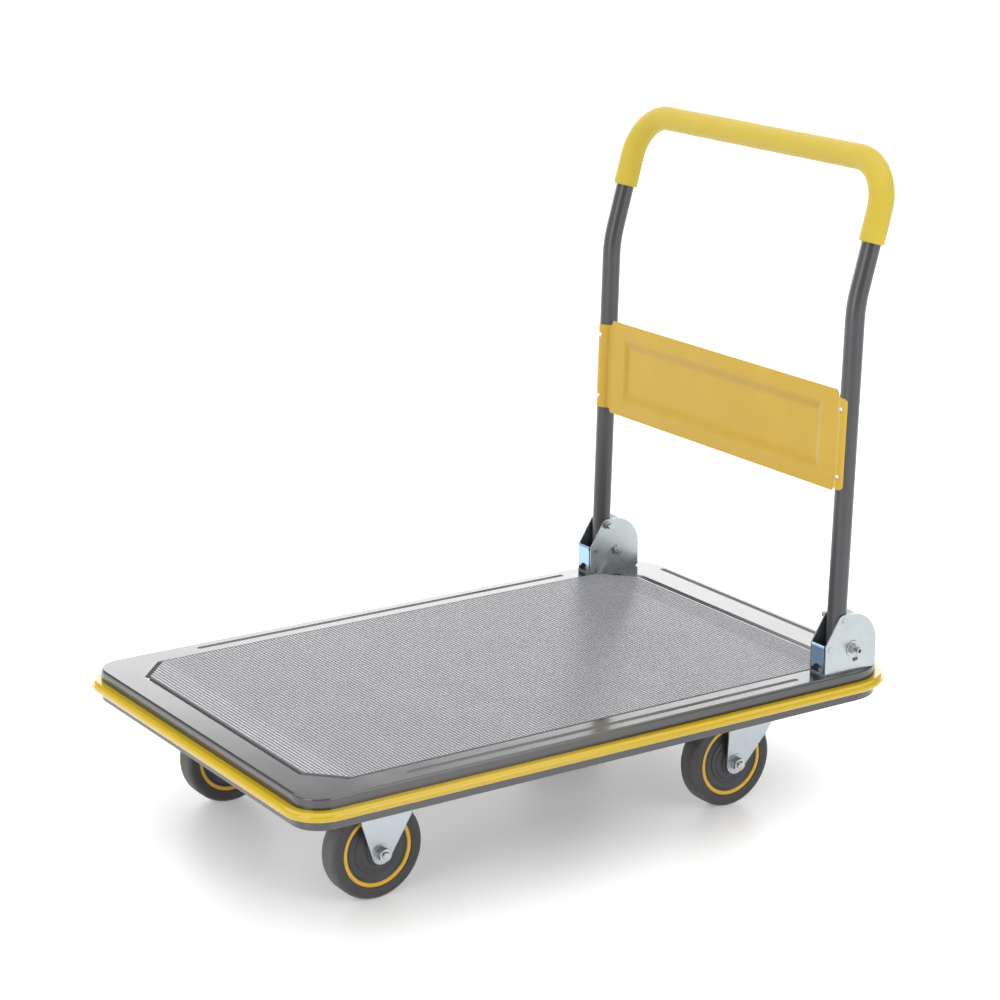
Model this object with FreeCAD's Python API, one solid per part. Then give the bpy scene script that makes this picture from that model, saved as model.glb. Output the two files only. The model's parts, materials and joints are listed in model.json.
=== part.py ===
import FreeCAD, Part
import math
import os

# Folding-handle platform trolley, in millimetres.
# +X points to the handle end, -X to the leading end, +Y to the right-hand side
# seen by a person who pushes, +Z up. The origin lies on the floor under the
# middle of the platform.

# ---- platform ----
DECK_HALF_LENGTH = 437.1
DECK_HALF_WIDTH = 279.3
DECK_TOP_Z = 182.4
SKIRT_BOTTOM_Z = 143.0
FRONT_CORNER_RADIUS = 36.0
REAR_CORNER_RADIUS = 64.0
SHEET = 1.5
DECK_EDGE_RADIUS = 3.0
SKIRT_LIP = 7.0

# ---- bumper strip round the skirt ----
BUMPER_PROUD = 12.5
BUMPER_Z = 161.7
BUMPER_HEIGHT = 12.0
BUMPER_NOSE_RADIUS = 5.9
TONGUE_HEIGHT = 10.0
TONGUE_DEPTH = 2.5

# ---- ribbed mat, let into the deck ----
MAT_FRONT_X = -395.9
MAT_REAR_X = 373.5
MAT_HALF_WIDTH = 238.6
MAT_CHAMFER_X = 41.0
MAT_CHAMFER_Y = 44.0
MAT_TOP_Z = 182.9
RECESS_FLOOR_Z = 179.9
MAT_GAP = 0.4
SLOPE_SIDE = 2.6
SLOPE_FRONT = 6.0
SLOPE_REAR = 10.0

# ---- pressed grooves in the deck border ----
GROOVE_Y = 260.5
GROOVE_FRONT_X = -290.0
GROOVE_REAR_X = 285.0
END_GROOVE_X = 425.0
END_GROOVE_HALF_LENGTH = 205.0
GROOVE_RADIUS = 5.0
GROOVE_DEPTH = 2.0

# ---- channels under the deck ----
CHANNEL_BOTTOM_Z = 156.0
CHANNEL_SHEET = 2.0
CHANNEL_HALF_WIDTH = 43.0
CHANNEL_FLANGE = 12.0
CHANNEL_HALF_LENGTH = 236.0
RAIL_Y = 90.0
RAIL_HALF_WIDTH = 16.0
RAIL_BOTTOM_Z = 162.0

# ---- castors ----
WHEEL_RADIUS = 62.5
WHEEL_Y = 182.0
FRONT_AXLE_X = -296.0
REAR_AXLE_X = 236.0
SWIVEL_X = 272.0
FRONT_PLATE_X = -288.0
PLATE_LENGTH = 85.0
PLATE_WIDTH = 105.0
PLATE_THICKNESS = 3.0
PLATE_BOLT_DX = 30.0
PLATE_BOLT_DY = 40.0
PLATE_CORNER_RADIUS = 8.0
FORK_OUTER = 24.0
FORK_SHEET = 2.8
FORK_PAD_RADIUS = 12.0
FORK_PAD_PROUD = 1.2
TYRE_HALF_WIDTH = 15.5
TYRE_SHOULDER = 7.0
TYRE_BEAD_PROUD = 0.5
RIM_OUTER = 47.0
RIM_INNER = 41.5
RIM_HALF_WIDTH = 14.0
RIM_BEVEL = 0.8
HUB_HALF_LENGTH = 20.0
# The stepped face of the hub from its boss outwards: (radius, distance from the middle).
HUB_FACE = ((16.0, 20.0), (17.0, 19.0), (17.5, 15.5), (24.0, 15.0), (25.0, 13.5), (30.0, 13.0),
            (31.0, 11.5), (39.0, 11.5), (41.5, 13.0))
AXLE_RADIUS = 5.0
SLEEVE_RADIUS = 7.0
BEARING_RADIUS = 11.5
BEARING_SETBACK = 1.0
AXLE_END = 3.0
AXLE_CHAMFER = 1.0
RUNNING_CLEARANCE = 0.05

# ---- outlines of the castor legs, as (along X, height, corner radius) ----
# The fixed fork, from its axle; the two last corners tuck into the plate above.
FIXED_FORK_TIP = (0.0, -1.0, 13.5)
FIXED_FORK_REAR_WAIST = (34.0, 44.0, 8.0)
FIXED_FORK_REAR_SHOULDER = (41.5, 64.0, 8.0)
FIXED_FORK_FRONT_SHOULDER = (-27.5, 74.0, 6.0)
FIXED_FORK_FRONT_WAIST = (-20.0, 44.0, 8.0)
FIXED_FORK_TOP_INSET = 1.0
# The swivel yoke, from its axle.
YOKE_TIP = (0.0, -1.0, 14.0)
YOKE_REAR_WAIST = (40.0, 34.0, 8.0)
YOKE_REAR_SHOULDER = (61.0, 62.0, 7.0)
YOKE_FRONT_WAIST = (-4.0, 43.0, 8.0)
YOKE_TOP_REACH = 31.0

# ---- swivel head of the rear castors ----
YOKE_TOP_Z = 147.7
YOKE_HEAD_RADIUS = 38.0
YOKE_SHEET = 3.0
RACE_RADIUS = 24.0
BALL_RADIUS = 2.5
BALL_COUNT = 18
BALL_POCKET_GAP = 0.1
CAGE_HALF_WIDTH = 3.0
CAGE_HALF_HEIGHT = 0.8
SHIELD_RADIUS = 33.0
SHIELD_SHEET = 2.0
SHIELD_GAP = 1.0
KINGPIN_RADIUS = 5.0
KINGPIN_HEAD_RADIUS = 9.0
KINGPIN_HEAD = 4.0
KINGPIN_HEAD_ROUND = 1.5
KINGPIN_COLLAR = 5.0
KINGPIN_COLLAR_ROUND = 2.0
KINGPIN_GAP = 0.3
KINGPIN_ACCESS = 3.0

# ---- folding handle ----
PIVOT_X = 352.3
PIVOT_Z = 251.0
HANDLE_Y = 257.0
TUBE_RADIUS = 12.5
TUBE_WALL = 1.6
TUBE_TAIL = 33.0
LOWER_LEAN = 1.6
UPPER_LEAN = 15.7
ELBOW_Z = 658.0
BAR_Z = 830.5
ELBOW_RADIUS = 160.0
CORNER_RADIUS = 60.0
GRIP_RADIUS = 16.5
GRIP_END_Z = 733.0
PIVOT_PIN_RADIUS = 4.0
PIVOT_BUSH_RADIUS = 6.5
BUSH_SETBACK = 0.6
PIVOT_PIN_TAIL = 10.0
PIVOT_PIN_PROUD = 0.6
PIVOT_COLLAR_RADIUS = 5.8
PIVOT_COLLAR_LENGTH = 4.5
DIMPLE_RADIUS = 2.4
DIMPLE_FLOOR_RADIUS = 0.4

# ---- sheet panel between the handle tubes ----
PANEL_BOTTOM_Z = 417.0
PANEL_TOP_Z = 548.0
PANEL_SHEET = 1.2
PANEL_LENGTHWISE = 5.2
PANEL_FIT = 0.1
PANEL_FLAT_HALF_WIDTH = 241.3
PANEL_CORNER_RADIUS = 5.0
PANEL_BEND_RADIUS = 5.0
PANEL_WRAP_ANGLE = 38.5
WRAP_BOTTOM_Z = 423.0
WRAP_TOP_Z = 541.0
WRAP_HALF_WIDTH = 271.5
WRAP_CORNER_RADIUS = 6.0
TRAY_DEPTH = 3.0
TRAY_OUTER = (212.0, 47.5, 8.0)
TRAY_INNER = (200.0, 27.0, 4.0)
RIVET_ZS = (439.0, 526.0)
RIVET_RADIUS = 2.0
RIVET_HEAD_RADIUS = 3.0
RIVET_DOME_RADIUS = 3.6
RIVET_DOME_DEPTH = 2.0
RIVET_TAIL = 1.5

# ---- hinge bracket ----
CHEEK_SHEET = 2.0
CHEEK_GAP = 26.0
CHEEK_FRONT_X = 323.5
CHEEK_REAR_X = 407.0
CHEEK_NOSE_Z = 221.0
CHEEK_TOP_RADIUS = 8.5
CHEEK_ARC_X = 365.0
CHEEK_ARC_Z = 217.0
CHEEK_ARC_RADIUS = 42.0
CHEEK_CORNER_RADIUS = 6.0
BASE_REAR_X = 398.0
BRACKET_BOLT_XS = (335.0, 385.0)
M8_RADIUS = 4.0
M8_FLATS = 13.0
M8_HEAD = 5.5
M8_NUT = 6.5
CASTOR_BOLT_HEAD = 5.3
THREAD_END = 2.0
M10_FLATS = 16.0
M10_HEAD = 6.4
M10_NUT = 8.0
BOLT_CLEARANCE = 0.2
OVERLAP = 1.0

# ---- foot latch in the bracket ----
LATCH_X = 369.0
LATCH_Z = 212.0
LATCH_SHEET = 1.5
LATCH_HALF_WIDTH = 12.0
LATCH_BOSS_RADIUS = 6.5
LATCH_TOP_Z = 215.2
LATCH_SHOULDER_Z = 213.2
LATCH_BEAM_BOTTOM_Z = 204.5
LATCH_WEB_FRONT_X = 336.0
LATCH_WEB_REAR_X = 361.0
LATCH_BEAM_REAR_X = 365.0
TAB_FRONT_X = 322.8
TAB_REAR_X = 328.5
TAB_BOTTOM_Z = 190.0
TAB_ARCH_Z = 196.0
TAB_ARCH_RADIUS = 9.0
LIP_X = 324.5
LIP_Z = 219.0
LIP_RADIUS = 3.0
STOP_X = 331.6
STOP_Z = 216.0
STOP_RADIUS = 2.5
STOP_HEAD_RADIUS = 4.0
STOP_HEAD = 0.8
WASHER_RADIUS = 11.0
WASHER_THICKNESS = 1.6
LATCH_BOLT_END = 13.0
LATCH_BOLT_BORE_RADIUS = 2.5
LATCH_BOLT_BORE_DEPTH = 6.0
SPRING_RADIUS = 6.0
SPRING_WIRE_RADIUS = 0.7
SPRING_PITCH = 3.3
SPRING_TURNS = 4
SPRING_STEPS = 10
SPRING_LEG_INSET = 4.0
SPRING_LEG_RISE = 3.0
SPRING_LEG_SHORT = 0.4
SPRING_LEG_LEAN = 1.0
SPRING_SLOT_X = 373.0
SPRING_SLOT_Z = 197.0
SPRING_SLOT_REACH = 2.0
SPRING_SLOT_RADIUS = 2.4

SIDES = (("left", -1), ("right", 1))
UP = FreeCAD.Vector(0, 0, 1)
ACROSS = FreeCAD.Vector(0, 1, 0)
LENGTHWISE = FreeCAD.Vector(1, 0, 0)
ORIGIN = FreeCAD.Vector(0, 0, 0)


# ---------------------------------------------------------------- helpers

def point(x, y, z):
    return FreeCAD.Vector(x, y, z)


def block(x0, x1, y0, y1, z0, z1):
    """A box given by its limits."""
    return Part.makeBox(x1 - x0, y1 - y0, z1 - z0, point(x0, y0, z0))


def upright(radius, x, y, z0, z1):
    """A cylinder along Z."""
    return Part.makeCylinder(radius, z1 - z0, point(x, y, z0), UP)


def crosswise(radius, x, z, y0, y1):
    """A cylinder along Y."""
    return Part.makeCylinder(radius, y1 - y0, point(x, y0, z), ACROSS)


def joined(shapes):
    """One solid out of touching or overlapping shapes."""
    return shapes[0].multiFuse(shapes[1:]).removeSplitter()


def on_side(shape, side):
    """The right-hand shape itself, or its mirror image on the left."""
    if side > 0:
        return shape
    return shape.mirror(ORIGIN, ACROSS)


def on_both_sides(shape):
    return Part.makeCompound([on_side(shape, side) for _, side in SIDES])


def tangent_outline(discs, place):
    """The closed outline round discs (u, v, radius), listed anticlockwise.

    place(u, v) turns plane coordinates into a point in space. A disc of no
    radius is a sharp corner.
    """
    count = len(discs)
    normals = []
    for index, (u0, v0, r0) in enumerate(discs):
        u1, v1, r1 = discs[(index + 1) % count]
        distance = math.hypot(u1 - u0, v1 - v0)
        along = ((u1 - u0) / distance, (v1 - v0) / distance)
        lean = (r0 - r1) / distance
        square = math.sqrt(1 - lean * lean)
        normals.append((lean * along[0] + square * along[1],
                        lean * along[1] - square * along[0]))
    edges = []
    for index, (u, v, radius) in enumerate(discs):
        arriving = normals[index - 1]
        leaving = normals[index]
        start = place(u + radius * arriving[0], v + radius * arriving[1])
        end = place(u + radius * leaving[0], v + radius * leaving[1])
        if start.distanceToPoint(end) > 1e-6:
            first = math.atan2(arriving[1], arriving[0])
            sweep = (math.atan2(leaving[1], leaving[0]) - first) % (2 * math.pi)
            middle = first + sweep / 2
            crown = place(u + radius * math.cos(middle), v + radius * math.sin(middle))
            edges.append(Part.Arc(start, crown, end).toShape())
        following = discs[(index + 1) % count]
        landing = place(following[0] + following[2] * leaving[0],
                        following[1] + following[2] * leaving[1])
        if end.distanceToPoint(landing) > 1e-6:
            edges.append(Part.makeLine(end, landing))
    return Part.Wire(edges)


def side_profile(discs, y0, y1):
    """A plate cut to an outline in the XZ plane, between y0 and y1."""
    wire = tangent_outline(discs, lambda u, v: point(u, y0, v))
    return Part.Face(wire).extrude(point(0, y1 - y0, 0))


def facing_profile(discs, x0, x1):
    """A plate cut to an outline in the YZ plane, between x0 and x1."""
    wire = tangent_outline(discs, lambda u, v: point(x0, u, v))
    return Part.Face(wire).extrude(point(x1 - x0, 0, 0))


def plan_profile(discs, z0, z1):
    """A plate cut to an outline in the XY plane, between z0 and z1."""
    wire = tangent_outline(discs, lambda u, v: point(u, v, z0))
    return Part.Face(wire).extrude(point(0, 0, z1 - z0))


def turned(points, x, y, z):
    """A body of revolution about Y from (radius, offset along Y) corners."""
    corners = [point(x + radius, y + offset, z) for radius, offset in points]
    face = Part.Face(Part.makePolygon(corners + corners[:1]))
    return face.revolve(point(x, y, z), ACROSS, 360)


def turned_outline(discs, x, y, z):
    """A body of revolution about Y from a rounded outline (radius, offset, rounding)."""
    wire = tangent_outline(discs, lambda u, v: point(x + u, y + v, z))
    return Part.Face(wire).revolve(point(x, y, z), ACROSS, 360)


def hexagon(flats, height):
    """A hexagon bar along Z from the origin, with bevelled corners."""
    corner_radius = flats / math.sqrt(3)
    corners = []
    for step in range(6):
        angle = math.radians(60 * step + 30)
        corners.append(point(corner_radius * math.cos(angle), corner_radius * math.sin(angle), 0))
    bar = Part.Face(Part.makePolygon(corners + corners[:1])).extrude(point(0, 0, height))
    blank = Part.makeCylinder(corner_radius, height)
    blank = blank.makeChamfer(0.14 * corner_radius, [blank.Edges[0], blank.Edges[2]])
    return bar.common(blank)


def standing(shape, x, y, z):
    """A Z-axis shape moved to its place."""
    moved = shape.copy()
    moved.translate(point(x, y, z))
    return moved


def lying(shape, x, y, z):
    """A Z-axis shape laid along +Y at its place."""
    moved = shape.copy()
    moved.rotate(ORIGIN, point(1, 0, 0), -90)
    moved.translate(point(x, y, z))
    return moved


def nut(flats, height, radius):
    """A hexagon nut along Z with a plain bore."""
    return hexagon(flats, height).cut(Part.makeCylinder(radius, height))


def rounded_path(points, radii):
    """A wire along points, with an arc of the given radius at each inner point."""
    edges = []
    start = points[0]
    for index in range(1, len(points) - 1):
        corner = points[index]
        towards = (points[index - 1] - corner).normalize()
        away = (points[index + 1] - corner).normalize()
        half_turn = (math.pi - towards.getAngle(away)) / 2
        setback = radii[index - 1] * math.tan(half_turn)
        arc_start = corner + towards * setback
        arc_end = corner + away * setback
        bisector = (towards + away).normalize()
        depth = radii[index - 1] * (1 / math.cos(half_turn) - 1)
        edges.append(Part.makeLine(start, arc_start))
        edges.append(Part.Arc(arc_start, corner + bisector * depth, arc_end).toShape())
        start = arc_end
    edges.append(Part.makeLine(start, points[-1]))
    return Part.Wire(edges)


def swept_bar(path, radius):
    """A round bar along a path."""
    start = path.Edges[0].valueAt(path.Edges[0].FirstParameter)
    direction = path.Edges[0].tangentAt(path.Edges[0].FirstParameter)
    ring = Part.Wire(Part.Circle(start, direction, radius).toShape())
    return path.makePipeShell([ring], True, False)


# ---------------------------------------------------------------- platform

def deck_outline(inset):
    """The deck's outline moved inwards by inset, as rounded corners."""
    length = DECK_HALF_LENGTH - FRONT_CORNER_RADIUS
    rear = DECK_HALF_LENGTH - REAR_CORNER_RADIUS
    front_radius = FRONT_CORNER_RADIUS - inset
    rear_radius = REAR_CORNER_RADIUS - inset
    front_y = DECK_HALF_WIDTH - FRONT_CORNER_RADIUS
    rear_y = DECK_HALF_WIDTH - REAR_CORNER_RADIUS
    return [(-length, -front_y, front_radius), (rear, -rear_y, rear_radius),
            (rear, rear_y, rear_radius), (-length, front_y, front_radius)]


def deck_prism(inset, z0, z1):
    return plan_profile(deck_outline(inset), z0, z1)


def level_edges(shape, z):
    """The edges of a shape that lie wholly at one height."""
    return [edge for edge in shape.Edges
            if abs(edge.BoundBox.ZMin - z) < 1e-4 and abs(edge.BoundBox.ZMax - z) < 1e-4]


def mat_octagon(side, front, rear, z):
    """The mat's eight-sided outline, grown by a distance on each side, at one height."""
    x0 = MAT_FRONT_X - front
    x1 = MAT_REAR_X + rear
    y1 = MAT_HALF_WIDTH + side
    corners = [(x0 + MAT_CHAMFER_X, -y1), (x1 - MAT_CHAMFER_X, -y1),
               (x1, -y1 + MAT_CHAMFER_Y), (x1, y1 - MAT_CHAMFER_Y),
               (x1 - MAT_CHAMFER_X, y1), (x0 + MAT_CHAMFER_X, y1),
               (x0, y1 - MAT_CHAMFER_Y), (x0, -y1 + MAT_CHAMFER_Y)]
    points = [point(x, y, z) for x, y in corners]
    return Part.makePolygon(points + points[:1])


def mat_recess(extra, z0, z1):
    """The shallow pan for the mat, grown by extra, with sloping walls."""
    floor = mat_octagon(MAT_GAP + extra, MAT_GAP + extra, MAT_GAP + extra, z0)
    rim = mat_octagon(MAT_GAP + SLOPE_SIDE + extra, MAT_GAP + SLOPE_FRONT + extra,
                      MAT_GAP + SLOPE_REAR + extra, z1)
    return Part.makeLoft([floor, rim], True, True)


def groove_bar(start, end, radius):
    """A round-ended bar along a groove."""
    along = end - start
    bar = Part.makeCylinder(radius, along.Length, start, along)
    return joined([bar, Part.makeSphere(radius, start), Part.makeSphere(radius, end)])


def groove_bars(radius):
    """The bars that press the long side grooves and the one along the handle end."""
    z = DECK_TOP_Z - GROOVE_DEPTH + GROOVE_RADIUS
    bars = []
    for _, side in SIDES:
        start = point(GROOVE_FRONT_X, side * GROOVE_Y, z)
        end = point(GROOVE_REAR_X, side * GROOVE_Y, z)
        bars.append(groove_bar(start, end, radius))
    start = point(END_GROOVE_X, -END_GROOVE_HALF_LENGTH, z)
    end = point(END_GROOVE_X, END_GROOVE_HALF_LENGTH, z)
    bars.append(groove_bar(start, end, radius))
    return bars


def make_deck():
    """A pressed steel pan: flat top, mat recess, grooves and a skirt with a bumper seat."""
    pan = deck_prism(0, SKIRT_BOTTOM_Z, DECK_TOP_Z)
    pan = pan.makeFillet(DECK_EDGE_RADIUS, level_edges(pan, DECK_TOP_Z))
    seat_low = BUMPER_Z - TONGUE_HEIGHT / 2
    seat_high = BUMPER_Z + TONGUE_HEIGHT / 2
    under_top = DECK_TOP_Z - SHEET
    pan = pan.cut(deck_prism(SKIRT_LIP, SKIRT_BOTTOM_Z, SKIRT_BOTTOM_Z + SHEET))
    pan = pan.cut(deck_prism(SHEET, SKIRT_BOTTOM_Z + SHEET, seat_low - SHEET))
    pan = pan.cut(deck_prism(TONGUE_DEPTH + SHEET, seat_low - SHEET, seat_high + SHEET))
    pan = pan.cut(deck_prism(SHEET, seat_high + SHEET, under_top))
    seat = deck_prism(0, seat_low, seat_high).cut(deck_prism(TONGUE_DEPTH, seat_low, seat_high))
    pan = pan.cut(seat)
    floor_under = RECESS_FLOOR_Z - SHEET
    pan = pan.fuse(mat_recess(SHEET, floor_under, DECK_TOP_Z - SHEET / 2))
    below_top = block(-DECK_HALF_LENGTH, DECK_HALF_LENGTH, -DECK_HALF_WIDTH, DECK_HALF_WIDTH,
                      SKIRT_BOTTOM_Z, DECK_TOP_Z - SHEET / 2)
    for bulge in groove_bars(GROOVE_RADIUS + SHEET):
        pan = pan.fuse(bulge.common(below_top))
    for hollow in groove_bars(GROOVE_RADIUS):
        pan = pan.cut(hollow)
    pan = pan.cut(mat_recess(0, RECESS_FLOOR_Z, DECK_TOP_Z))
    for x in BRACKET_BOLT_XS:
        for _, side in SIDES:
            pan = pan.cut(upright(M8_RADIUS + BOLT_CLEARANCE, x, side * HANDLE_Y,
                                  under_top - SHEET, DECK_TOP_Z))
    return pan.removeSplitter()


def make_deck_mat():
    """The rubber mat as a plain slab of its full thickness."""
    outline = mat_octagon(0, 0, 0, RECESS_FLOOR_Z)
    return Part.Face(outline).extrude(point(0, 0, MAT_TOP_Z - RECESS_FLOOR_Z))


def make_bumper_strip():
    """A soft round-nosed strip whose tongue sits in the skirt's seat."""
    low = BUMPER_Z - BUMPER_HEIGHT / 2
    high = BUMPER_Z + BUMPER_HEIGHT / 2
    strip = deck_prism(-BUMPER_PROUD, low, high)
    strip = strip.makeFillet(BUMPER_NOSE_RADIUS, level_edges(strip, low) + level_edges(strip, high))
    strip = strip.cut(deck_prism(0, low, high))
    seat_low = BUMPER_Z - TONGUE_HEIGHT / 2
    seat_high = BUMPER_Z + TONGUE_HEIGHT / 2
    tongue = deck_prism(0, seat_low, seat_high).cut(deck_prism(TONGUE_DEPTH, seat_low, seat_high))
    return joined([strip, tongue])


def hat_channel(half_width, flange, bottom_z, sheet):
    """The corners (across, z) of a hat channel that hangs under the deck."""
    top = RECESS_FLOOR_Z - SHEET
    outer = half_width
    inner = half_width - sheet
    brim = half_width + flange
    return [(-brim, top), (-brim, top - sheet), (-outer, top - sheet), (-outer, bottom_z),
            (outer, bottom_z), (outer, top - sheet), (brim, top - sheet), (brim, top),
            (inner, top), (inner, bottom_z + sheet), (-inner, bottom_z + sheet), (-inner, top)]


def plate_bolt_places(plate_x):
    """The four bolt places of a castor plate on the right-hand side."""
    return [(plate_x + sx * PLATE_BOLT_DX, WHEEL_Y + sy * PLATE_BOLT_DY)
            for sx in (-1, 1) for sy in (-1, 1)]


def make_crossmember(plate_x, swivels):
    """A hat channel across the platform that carries two castors."""
    corners = [point(plate_x + u, -CHANNEL_HALF_LENGTH, v) for u, v in
               hat_channel(CHANNEL_HALF_WIDTH, CHANNEL_FLANGE, CHANNEL_BOTTOM_Z, CHANNEL_SHEET)]
    face = Part.Face(Part.makePolygon(corners + corners[:1]))
    channel = face.extrude(point(0, 2 * CHANNEL_HALF_LENGTH, 0))
    web_top = CHANNEL_BOTTOM_Z + CHANNEL_SHEET
    for _, side in SIDES:
        for x, y in plate_bolt_places(plate_x):
            channel = channel.cut(upright(M8_RADIUS + BOLT_CLEARANCE, x, side * y,
                                          CHANNEL_BOTTOM_Z, web_top))
        if swivels:
            channel = channel.cut(upright(KINGPIN_HEAD_RADIUS + KINGPIN_ACCESS, plate_x, side * WHEEL_Y,
                                          CHANNEL_BOTTOM_Z, web_top))
    return channel


def make_stiffener_rails():
    """Two hat rails that run lengthwise between the crossmembers."""
    start = FRONT_PLATE_X + CHANNEL_HALF_WIDTH + CHANNEL_FLANGE
    end = SWIVEL_X - CHANNEL_HALF_WIDTH - CHANNEL_FLANGE
    corners = [point(start, RAIL_Y + u, v) for u, v in
               hat_channel(RAIL_HALF_WIDTH, CHANNEL_FLANGE, RAIL_BOTTOM_Z, SHEET)]
    face = Part.Face(Part.makePolygon(corners + corners[:1]))
    return on_both_sides(face.extrude(point(end - start, 0, 0)))


# ---------------------------------------------------------------- castors

def from_axle(corners, axle_x):
    """Outline corners that are given from the axle, at their place."""
    return [(axle_x + along, WHEEL_RADIUS + height, radius) for along, height, radius in corners]


def fork_legs(discs):
    """The two legs of a right-hand fork with raised pads round the axle."""
    axle_x, axle_z = discs[0][0], WHEEL_RADIUS
    inner = FORK_OUTER - FORK_SHEET
    pads_out = FORK_OUTER + FORK_PAD_PROUD
    legs = []
    for way in (-1, 1):
        faces = sorted((way * inner, way * FORK_OUTER))
        leg = side_profile(discs, WHEEL_Y + faces[0], WHEEL_Y + faces[1])
        faces = sorted((way * inner, way * pads_out))
        pad = crosswise(FORK_PAD_RADIUS, axle_x, axle_z, WHEEL_Y + faces[0], WHEEL_Y + faces[1])
        leg = leg.fuse(pad)
        faces = sorted((way * (inner - OVERLAP), way * (pads_out + OVERLAP)))
        hole = crosswise(AXLE_RADIUS + BOLT_CLEARANCE, axle_x, axle_z,
                         WHEEL_Y + faces[0], WHEEL_Y + faces[1])
        legs.append(leg.cut(hole))
    return legs


def castor_plate(plate_x):
    """The bolt-on plate of a castor, with rounded corners and four holes."""
    corner = PLATE_CORNER_RADIUS
    half_length = PLATE_LENGTH / 2 - corner
    half_width = PLATE_WIDTH / 2 - corner
    discs = [(plate_x - half_length, WHEEL_Y - half_width, corner),
             (plate_x + half_length, WHEEL_Y - half_width, corner),
             (plate_x + half_length, WHEEL_Y + half_width, corner),
             (plate_x - half_length, WHEEL_Y + half_width, corner)]
    plate = plan_profile(discs, CHANNEL_BOTTOM_Z - PLATE_THICKNESS, CHANNEL_BOTTOM_Z)
    for x, y in plate_bolt_places(plate_x):
        plate = plate.cut(upright(M8_RADIUS + BOLT_CLEARANCE, x, y,
                                  CHANNEL_BOTTOM_Z - PLATE_THICKNESS, CHANNEL_BOTTOM_Z))
    return plate


def make_fixed_fork():
    """A fixed castor fork: plate and two tapering legs, pressed from one sheet."""
    plate_under = CHANNEL_BOTTOM_Z - PLATE_THICKNESS
    reach = PLATE_LENGTH / 2 - FIXED_FORK_TOP_INSET
    lower = [FIXED_FORK_TIP, FIXED_FORK_REAR_WAIST, FIXED_FORK_REAR_SHOULDER]
    upper = [FIXED_FORK_FRONT_SHOULDER, FIXED_FORK_FRONT_WAIST]
    discs = from_axle(lower, FRONT_AXLE_X)
    discs += [(FRONT_PLATE_X + reach, plate_under + OVERLAP, 0),
              (FRONT_PLATE_X - reach, plate_under + OVERLAP, 0)]
    discs += from_axle(upper, FRONT_AXLE_X)
    return joined([castor_plate(FRONT_PLATE_X)] + fork_legs(discs))


def make_swivel_plate():
    """The plate of a swivel castor with the shield that covers its ball race."""
    under = CHANNEL_BOTTOM_Z - PLATE_THICKNESS
    low = YOKE_TOP_Z + SHIELD_GAP
    shield = upright(SHIELD_RADIUS, SWIVEL_X, WHEEL_Y, low, under)
    shield = shield.cut(upright(SHIELD_RADIUS - SHIELD_SHEET, SWIVEL_X, WHEEL_Y, low, under))
    plate = joined([castor_plate(SWIVEL_X), shield])
    return plate.cut(upright(KINGPIN_RADIUS, SWIVEL_X, WHEEL_Y, under, CHANNEL_BOTTOM_Z))


def make_kingpin():
    """The riveted pin that holds the yoke up against the plate."""
    collar_top = YOKE_TOP_Z - YOKE_SHEET - KINGPIN_GAP
    collar_low = collar_top - KINGPIN_COLLAR
    head_top = CHANNEL_BOTTOM_Z + KINGPIN_HEAD
    shaft = upright(KINGPIN_RADIUS, SWIVEL_X, WHEEL_Y, collar_low, head_top)
    head = upright(KINGPIN_HEAD_RADIUS, SWIVEL_X, WHEEL_Y, CHANNEL_BOTTOM_Z, head_top)
    head = head.makeFillet(KINGPIN_HEAD_ROUND, level_edges(head, head_top))
    collar = upright(KINGPIN_HEAD_RADIUS, SWIVEL_X, WHEEL_Y, collar_low, collar_top)
    collar = collar.makeFillet(KINGPIN_COLLAR_ROUND, level_edges(collar, collar_low))
    return joined([shaft, head, collar])


def make_yoke():
    """The swivelling fork: round head and two legs that trail back to the axle."""
    head = upright(YOKE_HEAD_RADIUS, SWIVEL_X, WHEEL_Y, YOKE_TOP_Z - YOKE_SHEET, YOKE_TOP_Z)
    head = head.common(block(SWIVEL_X - YOKE_HEAD_RADIUS, SWIVEL_X + YOKE_HEAD_RADIUS,
                             WHEEL_Y - FORK_OUTER, WHEEL_Y + FORK_OUTER,
                             YOKE_TOP_Z - YOKE_SHEET, YOKE_TOP_Z))
    discs = from_axle([YOKE_TIP, YOKE_REAR_WAIST, YOKE_REAR_SHOULDER], REAR_AXLE_X)
    discs += [(SWIVEL_X + YOKE_TOP_REACH, YOKE_TOP_Z, 0), (SWIVEL_X - YOKE_TOP_REACH, YOKE_TOP_Z, 0)]
    discs += from_axle([YOKE_FRONT_WAIST], REAR_AXLE_X)
    bore = upright(KINGPIN_RADIUS + RUNNING_CLEARANCE, SWIVEL_X, WHEEL_Y,
                   YOKE_TOP_Z - YOKE_SHEET, YOKE_TOP_Z)
    return joined([head] + fork_legs(discs)).cut(bore)


def make_ball_race():
    """A ring of balls in a flat cage, lying on the yoke's head."""
    centre_z = YOKE_TOP_Z + BALL_RADIUS
    low = centre_z - CAGE_HALF_HEIGHT
    high = centre_z + CAGE_HALF_HEIGHT
    cage = upright(RACE_RADIUS + CAGE_HALF_WIDTH, SWIVEL_X, WHEEL_Y, low, high)
    cage = cage.cut(upright(RACE_RADIUS - CAGE_HALF_WIDTH, SWIVEL_X, WHEEL_Y, low, high))
    balls = []
    for step in range(BALL_COUNT):
        angle = 2 * math.pi * step / BALL_COUNT
        centre = point(SWIVEL_X + RACE_RADIUS * math.cos(angle),
                       WHEEL_Y + RACE_RADIUS * math.sin(angle), centre_z)
        balls.append(Part.makeSphere(BALL_RADIUS, centre))
        cage = cage.cut(Part.makeSphere(BALL_RADIUS + BALL_POCKET_GAP, centre))
    return Part.makeCompound([cage] + balls)


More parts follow.
